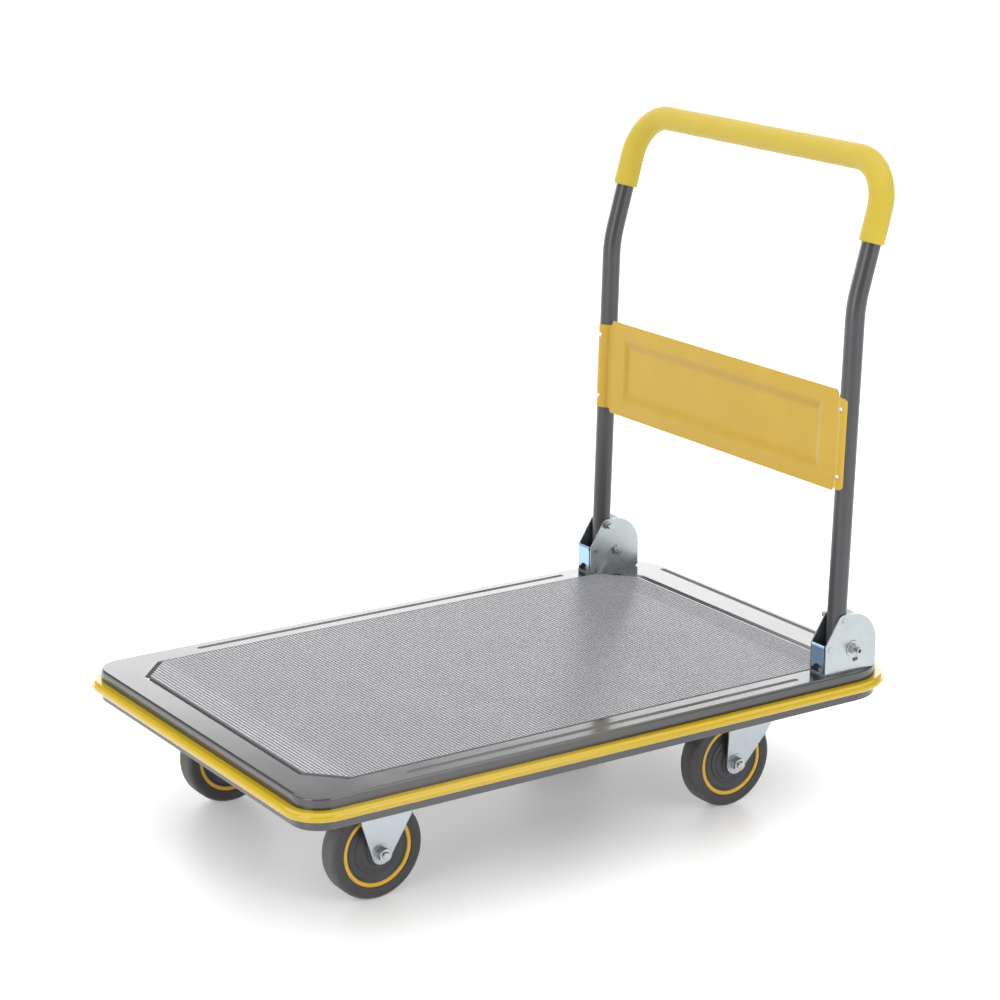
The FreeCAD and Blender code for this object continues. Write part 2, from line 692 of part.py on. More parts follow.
def make_tyre(axle_x):
    """The rubber tyre with rounded shoulders."""
    shoulder = TYRE_HALF_WIDTH - TYRE_SHOULDER
    tread = WHEEL_RADIUS - TYRE_SHOULDER
    discs = [(RIM_OUTER, -RIM_HALF_WIDTH - TYRE_BEAD_PROUD, 0), (tread, -shoulder, TYRE_SHOULDER),
             (tread, shoulder, TYRE_SHOULDER), (RIM_OUTER, RIM_HALF_WIDTH + TYRE_BEAD_PROUD, 0)]
    return turned_outline(discs, axle_x, WHEEL_Y, WHEEL_RADIUS)


def make_rim(axle_x):
    """The coloured rim ring between tyre and hub."""
    bevel = RIM_BEVEL
    discs = [(RIM_INNER + bevel, -RIM_HALF_WIDTH + bevel, bevel),
             (RIM_OUTER - bevel, -RIM_HALF_WIDTH + bevel, bevel),
             (RIM_OUTER - bevel, RIM_HALF_WIDTH - bevel, bevel),
             (RIM_INNER + bevel, RIM_HALF_WIDTH - bevel, bevel)]
    return turned_outline(discs, axle_x, WHEEL_Y, WHEEL_RADIUS)


def make_hub(axle_x):
    """The wheel centre with stepped faces and a long boss."""
    outer_half = [(BEARING_RADIUS, HUB_HALF_LENGTH)] + list(HUB_FACE)
    inner_half = [(radius, -offset) for radius, offset in reversed(outer_half)]
    return turned(outer_half + inner_half, axle_x, WHEEL_Y, WHEEL_RADIUS)


def make_wheel_bearing(axle_x):
    """The roller cage pressed into the hub."""
    bore = SLEEVE_RADIUS + RUNNING_CLEARANCE
    half = HUB_HALF_LENGTH - BEARING_SETBACK
    corners = [(bore, -half), (BEARING_RADIUS, -half), (BEARING_RADIUS, half), (bore, half)]
    return turned(corners, axle_x, WHEEL_Y, WHEEL_RADIUS)


def make_axle_sleeve(axle_x):
    """The hard tube clamped between the legs, on which the wheel turns."""
    reach = FORK_OUTER - FORK_SHEET
    sleeve = crosswise(SLEEVE_RADIUS, axle_x, WHEEL_RADIUS, WHEEL_Y - reach, WHEEL_Y + reach)
    return sleeve.cut(crosswise(AXLE_RADIUS + RUNNING_CLEARANCE, axle_x, WHEEL_RADIUS,
                                WHEEL_Y - reach, WHEEL_Y + reach))


def make_axle_bolt(axle_x):
    """The axle bolt, head on the inner side of the fork."""
    face = FORK_OUTER + FORK_PAD_PROUD
    tip = WHEEL_Y + face + M10_NUT + AXLE_END
    shaft = crosswise(AXLE_RADIUS, axle_x, WHEEL_RADIUS, WHEEL_Y - face - OVERLAP, tip)
    tip_edges = [edge for edge in shaft.Edges if abs(edge.BoundBox.YMin - tip) < 1e-4]
    shaft = shaft.makeChamfer(AXLE_CHAMFER, tip_edges)
    head = lying(hexagon(M10_FLATS, M10_HEAD), axle_x, WHEEL_Y - face - M10_HEAD, WHEEL_RADIUS)
    return joined([shaft, head])


def make_axle_nut(axle_x):
    """The axle nut on the outer side of the fork."""
    face = FORK_OUTER + FORK_PAD_PROUD
    return lying(nut(M10_FLATS, M10_NUT, AXLE_RADIUS), axle_x, WHEEL_Y + face, WHEEL_RADIUS)


def castor_bolt_places():
    places = []
    for plate_x in (FRONT_PLATE_X, SWIVEL_X):
        for _, side in SIDES:
            places += [(x, side * y) for x, y in plate_bolt_places(plate_x)]
    return places


def make_castor_bolts():
    """The bolts of all four castor plates, heads down."""
    head_top = CHANNEL_BOTTOM_Z - PLATE_THICKNESS
    bolts = []
    for x, y in castor_bolt_places():
        shaft = upright(M8_RADIUS, x, y, head_top - OVERLAP,
                        CHANNEL_BOTTOM_Z + CHANNEL_SHEET + M8_NUT + THREAD_END)
        head = standing(hexagon(M8_FLATS, CASTOR_BOLT_HEAD), x, y, head_top - CASTOR_BOLT_HEAD)
        bolts.append(joined([shaft, head]))
    return Part.makeCompound(bolts)


def make_castor_nuts():
    """The nuts of the castor bolts, inside the channels."""
    seat = CHANNEL_BOTTOM_Z + CHANNEL_SHEET
    shape = nut(M8_FLATS, M8_NUT, M8_RADIUS)
    return Part.makeCompound([standing(shape, x, y, seat) for x, y in castor_bolt_places()])


# ---------------------------------------------------------------- handle

def lean_back(shape):
    """Lean an upright shape back about the handle pivot, to the rest position."""
    leaned = shape.copy()
    leaned.rotate(point(PIVOT_X, 0, PIVOT_Z), ACROSS, LOWER_LEAN)
    return leaned


def elbow_x():
    return PIVOT_X + (ELBOW_Z - PIVOT_Z) * math.tan(math.radians(LOWER_LEAN))


def bar_x():
    return elbow_x() + (BAR_Z - ELBOW_Z) * math.tan(math.radians(UPPER_LEAN))


def handle_path(foot_z, foot_x, elbow):
    """The line of the handle from one foot over the top to the other."""
    arm = [point(foot_x, HANDLE_Y, foot_z)]
    radii = [CORNER_RADIUS, CORNER_RADIUS]
    if elbow:
        arm.append(point(elbow_x(), HANDLE_Y, ELBOW_Z))
        radii = [ELBOW_RADIUS] + radii + [ELBOW_RADIUS]
    arm.append(point(bar_x(), HANDLE_Y, BAR_Z))
    other_arm = [point(p.x, -p.y, p.z) for p in reversed(arm)]
    return rounded_path(arm + other_arm, radii)


def rivet_places():
    return [(side * HANDLE_Y, z) for _, side in SIDES for z in RIVET_ZS]


def make_handle_tube():
    """The bent steel tube with a bush across each foot for the pivot pin."""
    lean = math.radians(LOWER_LEAN)
    foot_x = PIVOT_X - TUBE_TAIL * math.sin(lean)
    foot_z = PIVOT_Z - TUBE_TAIL * math.cos(lean)
    path = handle_path(foot_z, foot_x, True)
    tube = swept_bar(path, TUBE_RADIUS).cut(swept_bar(path, TUBE_RADIUS - TUBE_WALL))
    for _, side in SIDES:
        y = side * HANDLE_Y
        reach = TUBE_RADIUS - BUSH_SETBACK
        tube = tube.fuse(crosswise(PIVOT_BUSH_RADIUS, PIVOT_X, PIVOT_Z, y - reach, y + reach))
        tube = tube.cut(crosswise(PIVOT_PIN_RADIUS + RUNNING_CLEARANCE, PIVOT_X, PIVOT_Z,
                                  y - TUBE_RADIUS, y + TUBE_RADIUS))
    for y, z in rivet_places():
        hole = Part.makeCylinder(RIVET_RADIUS, TUBE_RADIUS,
                                 point(PIVOT_X - TUBE_RADIUS - OVERLAP, y, z), LENGTHWISE)
        tube = tube.cut(lean_back(hole))
    return tube


def make_handle_grip():
    """The soft sleeve over the top of the handle."""
    foot_x = elbow_x() + (GRIP_END_Z - ELBOW_Z) * math.tan(math.radians(UPPER_LEAN))
    path = handle_path(GRIP_END_Z, foot_x, False)
    return swept_bar(path, GRIP_RADIUS).cut(swept_bar(path, TUBE_RADIUS))


def panel_section(z):
    """The closed section of the sheet: flat, bent forward and wrapped round each tube."""
    middle = TUBE_RADIUS + PANEL_FIT + PANEL_SHEET / 2
    bend_x = -PANEL_LENGTHWISE - PANEL_BEND_RADIUS
    reach = middle + PANEL_BEND_RADIUS
    bend_y = HANDLE_Y - math.sqrt(reach * reach - bend_x * bend_x)
    meet = math.atan2(bend_y - HANDLE_Y, bend_x)
    finish = math.radians(180 - PANEL_WRAP_ANGLE)

    def half_curve(offset):
        """The edges at one face of the sheet; offset is positive towards the front."""
        bend = PANEL_BEND_RADIUS - offset
        wrap = middle + offset

        def bend_point(angle):
            return point(PIVOT_X + bend_x + bend * math.cos(angle),
                         bend_y + bend * math.sin(angle), z)

        def wrap_point(angle):
            return point(PIVOT_X + wrap * math.cos(angle), HANDLE_Y + wrap * math.sin(angle), z)

        turn_end = meet + math.pi
        flat_end = bend_point(0)
        wrap_start = wrap_point(meet)
        wrap_end = wrap_point(finish)
        meet_up = meet + 2 * math.pi
        return flat_end, [
            Part.Arc(flat_end, bend_point(turn_end / 2), wrap_start).toShape(),
            Part.Arc(wrap_start, wrap_point((meet_up + finish) / 2), wrap_end).toShape()], wrap_end

    front_flat, front_edges, front_tip = half_curve(PANEL_SHEET / 2)
    back_flat, back_edges, back_tip = half_curve(-PANEL_SHEET / 2)
    tip = Part.makeLine(front_tip, back_tip)
    half = front_edges + [tip] + back_edges
    other_half = [edge.mirror(ORIGIN, ACROSS) for edge in half]
    flats = [Part.makeLine(front_flat, point(front_flat.x, -front_flat.y, z)),
             Part.makeLine(back_flat, point(back_flat.x, -back_flat.y, z))]
    ordered = Part.__sortEdges__(half + other_half + flats)
    return Part.Face(Part.Wire(ordered))


def rounded_rectangle(half_width, z0, z1, corner):
    """A rounded rectangle in the YZ plane, as discs."""
    return [(-half_width + corner, z0 + corner, corner), (half_width - corner, z0 + corner, corner),
            (half_width - corner, z1 - corner, corner), (-half_width + corner, z1 - corner, corner)]


def rounded_rectangle_wire(half_width, z0, z1, corner, x):
    """A rounded rectangle at one X, as a wire."""
    sheet = facing_profile(rounded_rectangle(half_width, z0, z1, corner), x, x + 1)
    return min(sheet.Faces, key=lambda face: face.CenterOfMass.x).OuterWire


def tray_block(x):
    """The pressed tray as a solid block: a rectangle at x that narrows towards the back."""
    middle = (PANEL_BOTTOM_Z + PANEL_TOP_Z) / 2
    wires = []
    for (half_width, half_height, corner), depth in ((TRAY_OUTER, 0), (TRAY_INNER, TRAY_DEPTH)):
        wires.append(rounded_rectangle_wire(half_width, middle - half_height,
                                            middle + half_height, corner, x + depth))
    return Part.makeLoft(wires, True, True)


def make_handle_panel():
    """The sheet panel with a shallow pressed tray, riveted round both tubes."""
    sheet = panel_section(PANEL_BOTTOM_Z).extrude(point(0, 0, PANEL_TOP_Z - PANEL_BOTTOM_Z))
    front = PIVOT_X - 2 * TUBE_RADIUS
    back = PIVOT_X + TUBE_RADIUS
    flat = facing_profile(rounded_rectangle(PANEL_FLAT_HALF_WIDTH, PANEL_BOTTOM_Z,
                                            PANEL_TOP_Z, PANEL_CORNER_RADIUS), front, back)
    wraps = facing_profile(rounded_rectangle(WRAP_HALF_WIDTH, WRAP_BOTTOM_Z, WRAP_TOP_Z,
                                             WRAP_CORNER_RADIUS), front, back)
    sheet = sheet.common(joined([flat, wraps]))
    face_x = PIVOT_X - PANEL_LENGTHWISE - PANEL_SHEET / 2
    back_x = PIVOT_X - PANEL_LENGTHWISE + PANEL_SHEET / 2
    sheet = sheet.fuse(tray_block(back_x)).cut(tray_block(face_x))
    for y, z in rivet_places():
        sheet = sheet.cut(Part.makeCylinder(RIVET_RADIUS, TUBE_RADIUS,
                                            point(PIVOT_X - 2 * TUBE_RADIUS, y, z), LENGTHWISE))
    return lean_back(sheet.removeSplitter())


def make_panel_rivets():
    """Domed rivets through panel and tube."""
    seat = PIVOT_X - TUBE_RADIUS - PANEL_FIT - PANEL_SHEET
    rivets = []
    for y, z in rivet_places():
        shank = Part.makeCylinder(RIVET_RADIUS, PANEL_SHEET + TUBE_WALL + RIVET_TAIL,
                                  point(seat, y, z), LENGTHWISE)
        head = Part.makeSphere(RIVET_DOME_RADIUS, point(seat + RIVET_DOME_DEPTH, y, z))
        head = head.common(Part.makeCylinder(RIVET_HEAD_RADIUS, RIVET_DOME_RADIUS,
                                             point(seat - RIVET_DOME_RADIUS, y, z), LENGTHWISE))
        rivets.append(lean_back(joined([shank, head])))
    return Part.makeCompound(rivets)


# ---------------------------------------------------------------- hinge brackets

def make_bracket():
    """The hinge bracket: base and two cheeks folded from one plate."""
    inner = HANDLE_Y - CHEEK_GAP / 2
    outer = HANDLE_Y + CHEEK_GAP / 2
    discs = [(CHEEK_FRONT_X, DECK_TOP_Z, 0),
             (CHEEK_REAR_X - CHEEK_CORNER_RADIUS, DECK_TOP_Z + CHEEK_CORNER_RADIUS,
              CHEEK_CORNER_RADIUS),
             (CHEEK_ARC_X, CHEEK_ARC_Z, CHEEK_ARC_RADIUS),
             (PIVOT_X, PIVOT_Z, CHEEK_TOP_RADIUS),
             (CHEEK_FRONT_X, CHEEK_NOSE_Z, 0)]
    cheeks = [side_profile(discs, inner - CHEEK_SHEET, inner),
              side_profile(discs, outer, outer + CHEEK_SHEET)]
    base = block(CHEEK_FRONT_X, BASE_REAR_X, inner - CHEEK_SHEET, outer + CHEEK_SHEET,
                 DECK_TOP_Z, DECK_TOP_Z + CHEEK_SHEET)
    bracket = joined(cheeks + [base])
    across = (inner - CHEEK_SHEET, outer + CHEEK_SHEET)
    bracket = bracket.cut(crosswise(PIVOT_PIN_RADIUS, PIVOT_X, PIVOT_Z, *across))
    bracket = bracket.cut(crosswise(M8_RADIUS + BOLT_CLEARANCE, LATCH_X, LATCH_Z, *across))
    bracket = bracket.cut(crosswise(STOP_RADIUS, STOP_X, STOP_Z, *across))
    for x in BRACKET_BOLT_XS:
        bracket = bracket.cut(upright(M8_RADIUS + BOLT_CLEARANCE, x, HANDLE_Y,
                                      DECK_TOP_Z, DECK_TOP_Z + CHEEK_SHEET))
    slot = side_profile([(SPRING_SLOT_X - SPRING_SLOT_REACH, SPRING_SLOT_Z, SPRING_SLOT_RADIUS),
                         (SPRING_SLOT_X + SPRING_SLOT_REACH, SPRING_SLOT_Z, SPRING_SLOT_RADIUS)],
                        outer, outer + CHEEK_SHEET)
    return bracket.cut(slot)


def make_pivot_pin():
    """The pin that the handle turns on, peened flush outside, headed inside."""
    inner_face = HANDLE_Y - CHEEK_GAP / 2 - CHEEK_SHEET
    outer_face = HANDLE_Y + CHEEK_GAP / 2 + CHEEK_SHEET
    shaft = crosswise(PIVOT_PIN_RADIUS, PIVOT_X, PIVOT_Z, inner_face - PIVOT_PIN_TAIL,
                      outer_face + PIVOT_PIN_PROUD)
    collar = crosswise(PIVOT_COLLAR_RADIUS, PIVOT_X, PIVOT_Z, inner_face - PIVOT_COLLAR_LENGTH,
                       inner_face)
    dimple = Part.makeCone(DIMPLE_FLOOR_RADIUS, DIMPLE_RADIUS, 2 * PIVOT_PIN_PROUD,
                           point(PIVOT_X, outer_face - PIVOT_PIN_PROUD, PIVOT_Z), ACROSS)
    return joined([shaft, collar]).cut(dimple)


def make_latch_bolt():
    """The bolt that the foot latch turns on, with a drilled outer end."""
    inner_face = HANDLE_Y - CHEEK_GAP / 2 - CHEEK_SHEET
    outer_face = HANDLE_Y + CHEEK_GAP / 2 + CHEEK_SHEET
    tip = outer_face + LATCH_BOLT_END
    shaft = crosswise(M8_RADIUS, LATCH_X, LATCH_Z, inner_face - OVERLAP, tip)
    head = lying(hexagon(M8_FLATS, M8_HEAD), LATCH_X, inner_face - M8_HEAD, LATCH_Z)
    drilled = crosswise(LATCH_BOLT_BORE_RADIUS, LATCH_X, LATCH_Z, tip - LATCH_BOLT_BORE_DEPTH, tip)
    return joined([shaft, head]).cut(drilled)


def make_latch_washer():
    outer_face = HANDLE_Y + CHEEK_GAP / 2 + CHEEK_SHEET
    washer = crosswise(WASHER_RADIUS, LATCH_X, LATCH_Z, outer_face, outer_face + WASHER_THICKNESS)
    return washer.cut(crosswise(M8_RADIUS + BOLT_CLEARANCE, LATCH_X, LATCH_Z, outer_face,
                                outer_face + WASHER_THICKNESS))


def make_latch_nut():
    seat = HANDLE_Y + CHEEK_GAP / 2 + CHEEK_SHEET + WASHER_THICKNESS
    return lying(nut(M8_FLATS, M8_NUT, M8_RADIUS), LATCH_X, seat, LATCH_Z)


def make_stop_pin():
    """The rivet across the cheeks that stops the latch from rising further."""
    inner_face = HANDLE_Y - CHEEK_GAP / 2 - CHEEK_SHEET
    outer_face = HANDLE_Y + CHEEK_GAP / 2 + CHEEK_SHEET
    inner_end = inner_face - STOP_HEAD
    outer_end = outer_face + STOP_HEAD
    shaft = crosswise(STOP_RADIUS, STOP_X, STOP_Z, inner_end, outer_end)
    heads = [crosswise(STOP_HEAD_RADIUS, STOP_X, STOP_Z, inner_end, inner_face),
             crosswise(STOP_HEAD_RADIUS, STOP_X, STOP_Z, outer_face, outer_end)]
    return joined([shaft] + heads)


def make_latch():
    """The foot latch: two arms, a web under the tube's foot and a tab with a rolled lip."""
    near = HANDLE_Y - LATCH_HALF_WIDTH
    far = HANDLE_Y + LATCH_HALF_WIDTH
    pieces = []
    for start in (near, far - LATCH_SHEET):
        end = start + LATCH_SHEET
        pieces.append(crosswise(LATCH_BOSS_RADIUS, LATCH_X, LATCH_Z, start, end))
        pieces.append(block(TAB_REAR_X - OVERLAP, LATCH_X, start, end,
                            LATCH_BEAM_BOTTOM_Z, LATCH_SHOULDER_Z))
        pieces.append(block(LATCH_WEB_FRONT_X, LATCH_BEAM_REAR_X, start, end,
                            LATCH_BEAM_BOTTOM_Z, LATCH_TOP_Z))
        pieces.append(block(TAB_FRONT_X, TAB_REAR_X, start, end, TAB_BOTTOM_Z, LIP_Z))
    pieces.append(block(LATCH_WEB_FRONT_X, LATCH_WEB_REAR_X, near, far,
                        LATCH_TOP_Z - LATCH_SHEET, LATCH_TOP_Z))
    pieces.append(block(TAB_FRONT_X, TAB_FRONT_X + LATCH_SHEET, near, far, TAB_BOTTOM_Z, LIP_Z))
    pieces.append(crosswise(LIP_RADIUS, LIP_X, LIP_Z, near, far))
    latch = joined(pieces)
    drop = TAB_ARCH_Z - TAB_ARCH_RADIUS
    arch = Part.makeCylinder(TAB_ARCH_RADIUS, 2 * LATCH_SHEET + OVERLAP,
                             point(TAB_FRONT_X - OVERLAP, HANDLE_Y, drop), LENGTHWISE)
    latch = latch.cut(arch)
    return latch.cut(crosswise(M8_RADIUS + RUNNING_CLEARANCE, LATCH_X, LATCH_Z, near, far))


def make_latch_spring():
    """The torsion spring round the latch bolt, one leg under the web, one in the slot."""
    height = SPRING_PITCH * SPRING_TURNS
    start_y = HANDLE_Y - height / 2
    end_y = HANDLE_Y + height / 2
    slot_y = HANDLE_Y + CHEEK_GAP / 2 + CHEEK_SHEET - SPRING_LEG_SHORT
    corners = [point(LATCH_WEB_FRONT_X + SPRING_LEG_INSET, start_y,
                     LATCH_Z - SPRING_RADIUS + SPRING_LEG_RISE)]
    steps = SPRING_TURNS * SPRING_STEPS
    for step in range(steps + 1):
        angle = 2 * math.pi * step / SPRING_STEPS
        corners.append(point(LATCH_X + SPRING_RADIUS * math.sin(angle),
                             start_y + height * step / steps,
                             LATCH_Z - SPRING_RADIUS * math.cos(angle)))
    corners.append(point(SPRING_SLOT_X, end_y + SPRING_LEG_LEAN, SPRING_SLOT_Z))
    corners.append(point(SPRING_SLOT_X, slot_y, SPRING_SLOT_Z))
    wire = [Part.makeSphere(SPRING_WIRE_RADIUS, corner) for corner in corners]
    for start, end in zip(corners, corners[1:]):
        along = end - start
        wire.append(Part.makeCylinder(SPRING_WIRE_RADIUS, along.Length, start, along))
    return joined(wire)


def make_bracket_bolts():
    """The bolts that hold the brackets to the deck."""
    seat = DECK_TOP_Z + CHEEK_SHEET
    bolts = []
    for x in BRACKET_BOLT_XS:
        shaft = upright(M8_RADIUS, x, HANDLE_Y, DECK_TOP_Z - SHEET - M8_NUT - THREAD_END,
                        seat + OVERLAP)
        head = standing(hexagon(M8_FLATS, M8_HEAD), x, HANDLE_Y, seat)
        bolts.append(joined([shaft, head]))
    return on_both_sides(Part.makeCompound(bolts))


def make_bracket_nuts():
    shape = nut(M8_FLATS, M8_NUT, M8_RADIUS)
    seat = DECK_TOP_Z - SHEET - M8_NUT
    nuts = [standing(shape, x, HANDLE_Y, seat) for x in BRACKET_BOLT_XS]
    return on_both_sides(Part.makeCompound(nuts))


# ---------------------------------------------------------------- all nodes

def all_nodes():
    nodes = {
        "deck": make_deck(),
        "deck_mat": make_deck_mat(),
        "bumper_strip": make_bumper_strip(),
        "front_crossmember": make_crossmember(FRONT_PLATE_X, False),
        "rear_crossmember": make_crossmember(SWIVEL_X, True),
        "stiffener_rails": make_stiffener_rails(),
        "castor_bolts": make_castor_bolts(),
        "castor_nuts": make_castor_nuts(),
        "front_axle_bolts": on_both_sides(make_axle_bolt(FRONT_AXLE_X)),
        "front_axle_nuts": on_both_sides(make_axle_nut(FRONT_AXLE_X)),
        "front_axle_sleeves": on_both_sides(make_axle_sleeve(FRONT_AXLE_X)),
        "rear_kingpins": on_both_sides(make_kingpin()),
        "handle_tube": make_handle_tube(),
        "handle_grip": make_handle_grip(),
        "handle_panel": make_handle_panel(),
        "panel_rivets": make_panel_rivets(),
        "handle_pivot_pins": on_both_sides(make_pivot_pin()),
        "latch_bolts": on_both_sides(make_latch_bolt()),
        "latch_washers": on_both_sides(make_latch_washer()),
        "latch_nuts": on_both_sides(make_latch_nut()),
        "latch_stop_pins": on_both_sides(make_stop_pin()),
        "bracket_bolts": make_bracket_bolts(),
        "bracket_nuts": make_bracket_nuts(),
    }
    one_sided = {
        "front_{}_fork": make_fixed_fork(),
        "rear_{}_top_plate": make_swivel_plate(),
        "rear_{}_yoke": make_yoke(),
        "rear_{}_ball_race": make_ball_race(),
        "rear_{}_axle_bolt": make_axle_bolt(REAR_AXLE_X),
        "rear_{}_axle_nut": make_axle_nut(REAR_AXLE_X),
        "rear_{}_axle_sleeve": make_axle_sleeve(REAR_AXLE_X),
        "bracket_{}": make_bracket(),
        "latch_{}": make_latch(),
        "latch_spring_{}": make_latch_spring(),
    }
    for end, axle_x in (("front", FRONT_AXLE_X), ("rear", REAR_AXLE_X)):
        one_sided[end + "_{}_tyre"] = make_tyre(axle_x)
        one_sided[end + "_{}_rim"] = make_rim(axle_x)
        one_sided[end + "_{}_hub"] = make_hub(axle_x)
        one_sided[end + "_{}_bearing"] = make_wheel_bearing(axle_x)
    for pattern, shape in one_sided.items():
        for name, side in SIDES:
            nodes[pattern.format(name)] = on_side(shape, side)
    return nodes


os.makedirs("parts", exist_ok=True)
for node_name, node_shape in all_nodes().items():
    node_shape.exportStep(os.path.join("parts", node_name + ".step"))
    print(node_name, len(node_shape.Solids), "solids, volume", round(node_shape.Volume))
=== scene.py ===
import bpy
import bmesh
import json
import math
from mathutils import Matrix, Vector, noise


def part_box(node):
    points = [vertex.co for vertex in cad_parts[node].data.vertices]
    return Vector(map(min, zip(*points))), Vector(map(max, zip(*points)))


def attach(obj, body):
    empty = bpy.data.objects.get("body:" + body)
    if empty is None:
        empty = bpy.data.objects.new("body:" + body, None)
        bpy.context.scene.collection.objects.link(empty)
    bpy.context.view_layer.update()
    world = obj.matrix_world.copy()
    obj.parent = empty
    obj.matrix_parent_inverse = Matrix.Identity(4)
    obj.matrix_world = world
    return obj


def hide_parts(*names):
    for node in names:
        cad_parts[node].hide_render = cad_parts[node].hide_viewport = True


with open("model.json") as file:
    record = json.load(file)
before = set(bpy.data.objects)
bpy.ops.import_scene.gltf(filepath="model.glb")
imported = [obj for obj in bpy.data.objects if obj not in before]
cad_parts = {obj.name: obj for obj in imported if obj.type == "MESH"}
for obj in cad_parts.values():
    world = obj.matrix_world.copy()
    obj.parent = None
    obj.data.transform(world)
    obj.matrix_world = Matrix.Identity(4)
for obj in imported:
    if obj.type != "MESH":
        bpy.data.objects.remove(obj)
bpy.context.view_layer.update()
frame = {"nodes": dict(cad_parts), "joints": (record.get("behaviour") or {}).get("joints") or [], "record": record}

# Metres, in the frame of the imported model: +X to the handle end, +Z up.
MM = 0.001
NODES = frame["nodes"]
SIDES = ("left", "right")
ENDS = ("front", "rear")
JOINTS = {joint["name"]: joint for joint in frame["joints"]}
NODE_BODY = {node: body for body, nodes in frame["record"]["behaviour"]["bodies"].items()
             for node in nodes}
NODE_SLOT = {part["node"]: part["material_slot"] for part in frame["record"]["subparts"]}


# ---------------------------------------------------------------- camera and studio

CAMERA_AZIMUTH = math.radians(33.696)
CAMERA_ELEVATION = math.radians(15.75)
CAMERA_ROLL = math.radians(0.236)
CAMERA_DISTANCE = 3.5147
CAMERA_TARGET = Vector((0.0364, 0.0455, 0.400))
CAMERA_LENS = 98.24
CAMERA_SHIFT = (0.0005, -0.0115)
CAMERA_CLIP_END = 200


def make_camera():
    """The camera stands off the leading left-hand corner and looks slightly down."""
    level = math.cos(CAMERA_ELEVATION)
    forward = Vector((math.sin(CAMERA_AZIMUTH) * level, math.cos(CAMERA_AZIMUTH) * level,
                      -math.sin(CAMERA_ELEVATION)))
    flat_right = Vector((math.cos(CAMERA_AZIMUTH), -math.sin(CAMERA_AZIMUTH), 0))
    flat_up = flat_right.cross(forward)
    right = flat_right * math.cos(CAMERA_ROLL) + flat_up * math.sin(CAMERA_ROLL)
    up = right.cross(forward)
    data = bpy.data.cameras.new("camera")
    data.lens = CAMERA_LENS
    data.shift_x, data.shift_y = CAMERA_SHIFT
    data.clip_end = CAMERA_CLIP_END
    camera = bpy.data.objects.new("camera", data)
    turn = Matrix((right, up, -forward)).transposed().to_4x4()
    camera.matrix_world = Matrix.Translation(CAMERA_TARGET - forward * CAMERA_DISTANCE) @ turn
    bpy.context.scene.collection.objects.link(camera)
    bpy.context.scene.camera = camera


WORLD_STRENGTH = 0.16
BACK_WALL_DISTANCE = 17.0
BACK_WALL_SIZE = (44.0, 6.78)
BACK_WALL_POWER = 2900
SIDE_WALL_AZIMUTH = math.radians(-55)
SIDE_WALL_DISTANCE = 15.0
SIDE_WALL_SIZE = (26.0, 6.0)
SIDE_WALL_POWER = 420
CEILING_HEIGHT = 8
CEILING_SIZE = (20.0, 20.0)
CEILING_POWER = 2000
FILL_LEFT_PLACE = (-4.2, -1.4, 1.5)
FILL_LEFT_SIZE = (2.4, 2.6)
FILL_RIGHT_PLACE = (1.6, -4.6, 1.6)
FILL_RIGHT_SIZE = (2.4, 2.2)
FILL_TARGET = (0, 0, 0.3)
FILL_POWER = 60
FLOOR_SIZE = 80


def level_heading(azimuth):
    """The level unit vector at an angle clockwise from +Y."""
    return Vector((math.sin(azimuth), math.cos(azimuth), 0))


def area_light(name, place, target, size, power):
    """A soft rectangular studio light that faces a point."""
    data = bpy.data.lights.new(name, "AREA")
    data.shape = "RECTANGLE"
    data.size, data.size_y = size
    data.energy = power
    light = bpy.data.objects.new(name, data)
    light.location = place
    light.rotation_euler = (Vector(target) - Vector(place)).to_track_quat("-Z", "Y").to_euler()
    bpy.context.scene.collection.objects.link(light)


def wall_light(name, heading, distance, size, power):
    """An upright light that stands on the floor and faces back along its heading."""
    place = heading * distance + Vector((0, 0, size[1] / 2))
    area_light(name, place, place - heading, size, power)


def make_studio():
    """A pale floor, a dim surround, two wide wall lights, a ceiling light and two fills."""
    scene = bpy.context.scene
    world = bpy.data.worlds.new("surround")
    world.use_nodes = True
    background = world.node_tree.nodes["Background"]
    background.inputs["Color"].default_value = (1.0, 1.0, 1.0, 1)
    background.inputs["Strength"].default_value = WORLD_STRENGTH
    scene.world = world
    wall_light("bright_wall", level_heading(CAMERA_AZIMUTH), BACK_WALL_DISTANCE,
               BACK_WALL_SIZE, BACK_WALL_POWER)
    wall_light("side_wall", level_heading(SIDE_WALL_AZIMUTH), SIDE_WALL_DISTANCE,
               SIDE_WALL_SIZE, SIDE_WALL_POWER)
    area_light("ceiling", (0, 0, CEILING_HEIGHT), (0, 0, 0), CEILING_SIZE, CEILING_POWER)
    area_light("fill_left", FILL_LEFT_PLACE, FILL_TARGET, FILL_LEFT_SIZE, FILL_POWER)
    area_light("fill_right", FILL_RIGHT_PLACE, FILL_TARGET, FILL_RIGHT_SIZE, FILL_POWER)
    scene.view_settings.view_transform = "Standard"
    scene.view_settings.look = "None"

    bpy.ops.mesh.primitive_plane_add(size=FLOOR_SIZE)
    floor = bpy.context.object
    floor.name = "floor"
    floor.data.materials.append(floor_material())


# ---------------------------------------------------------------- materials

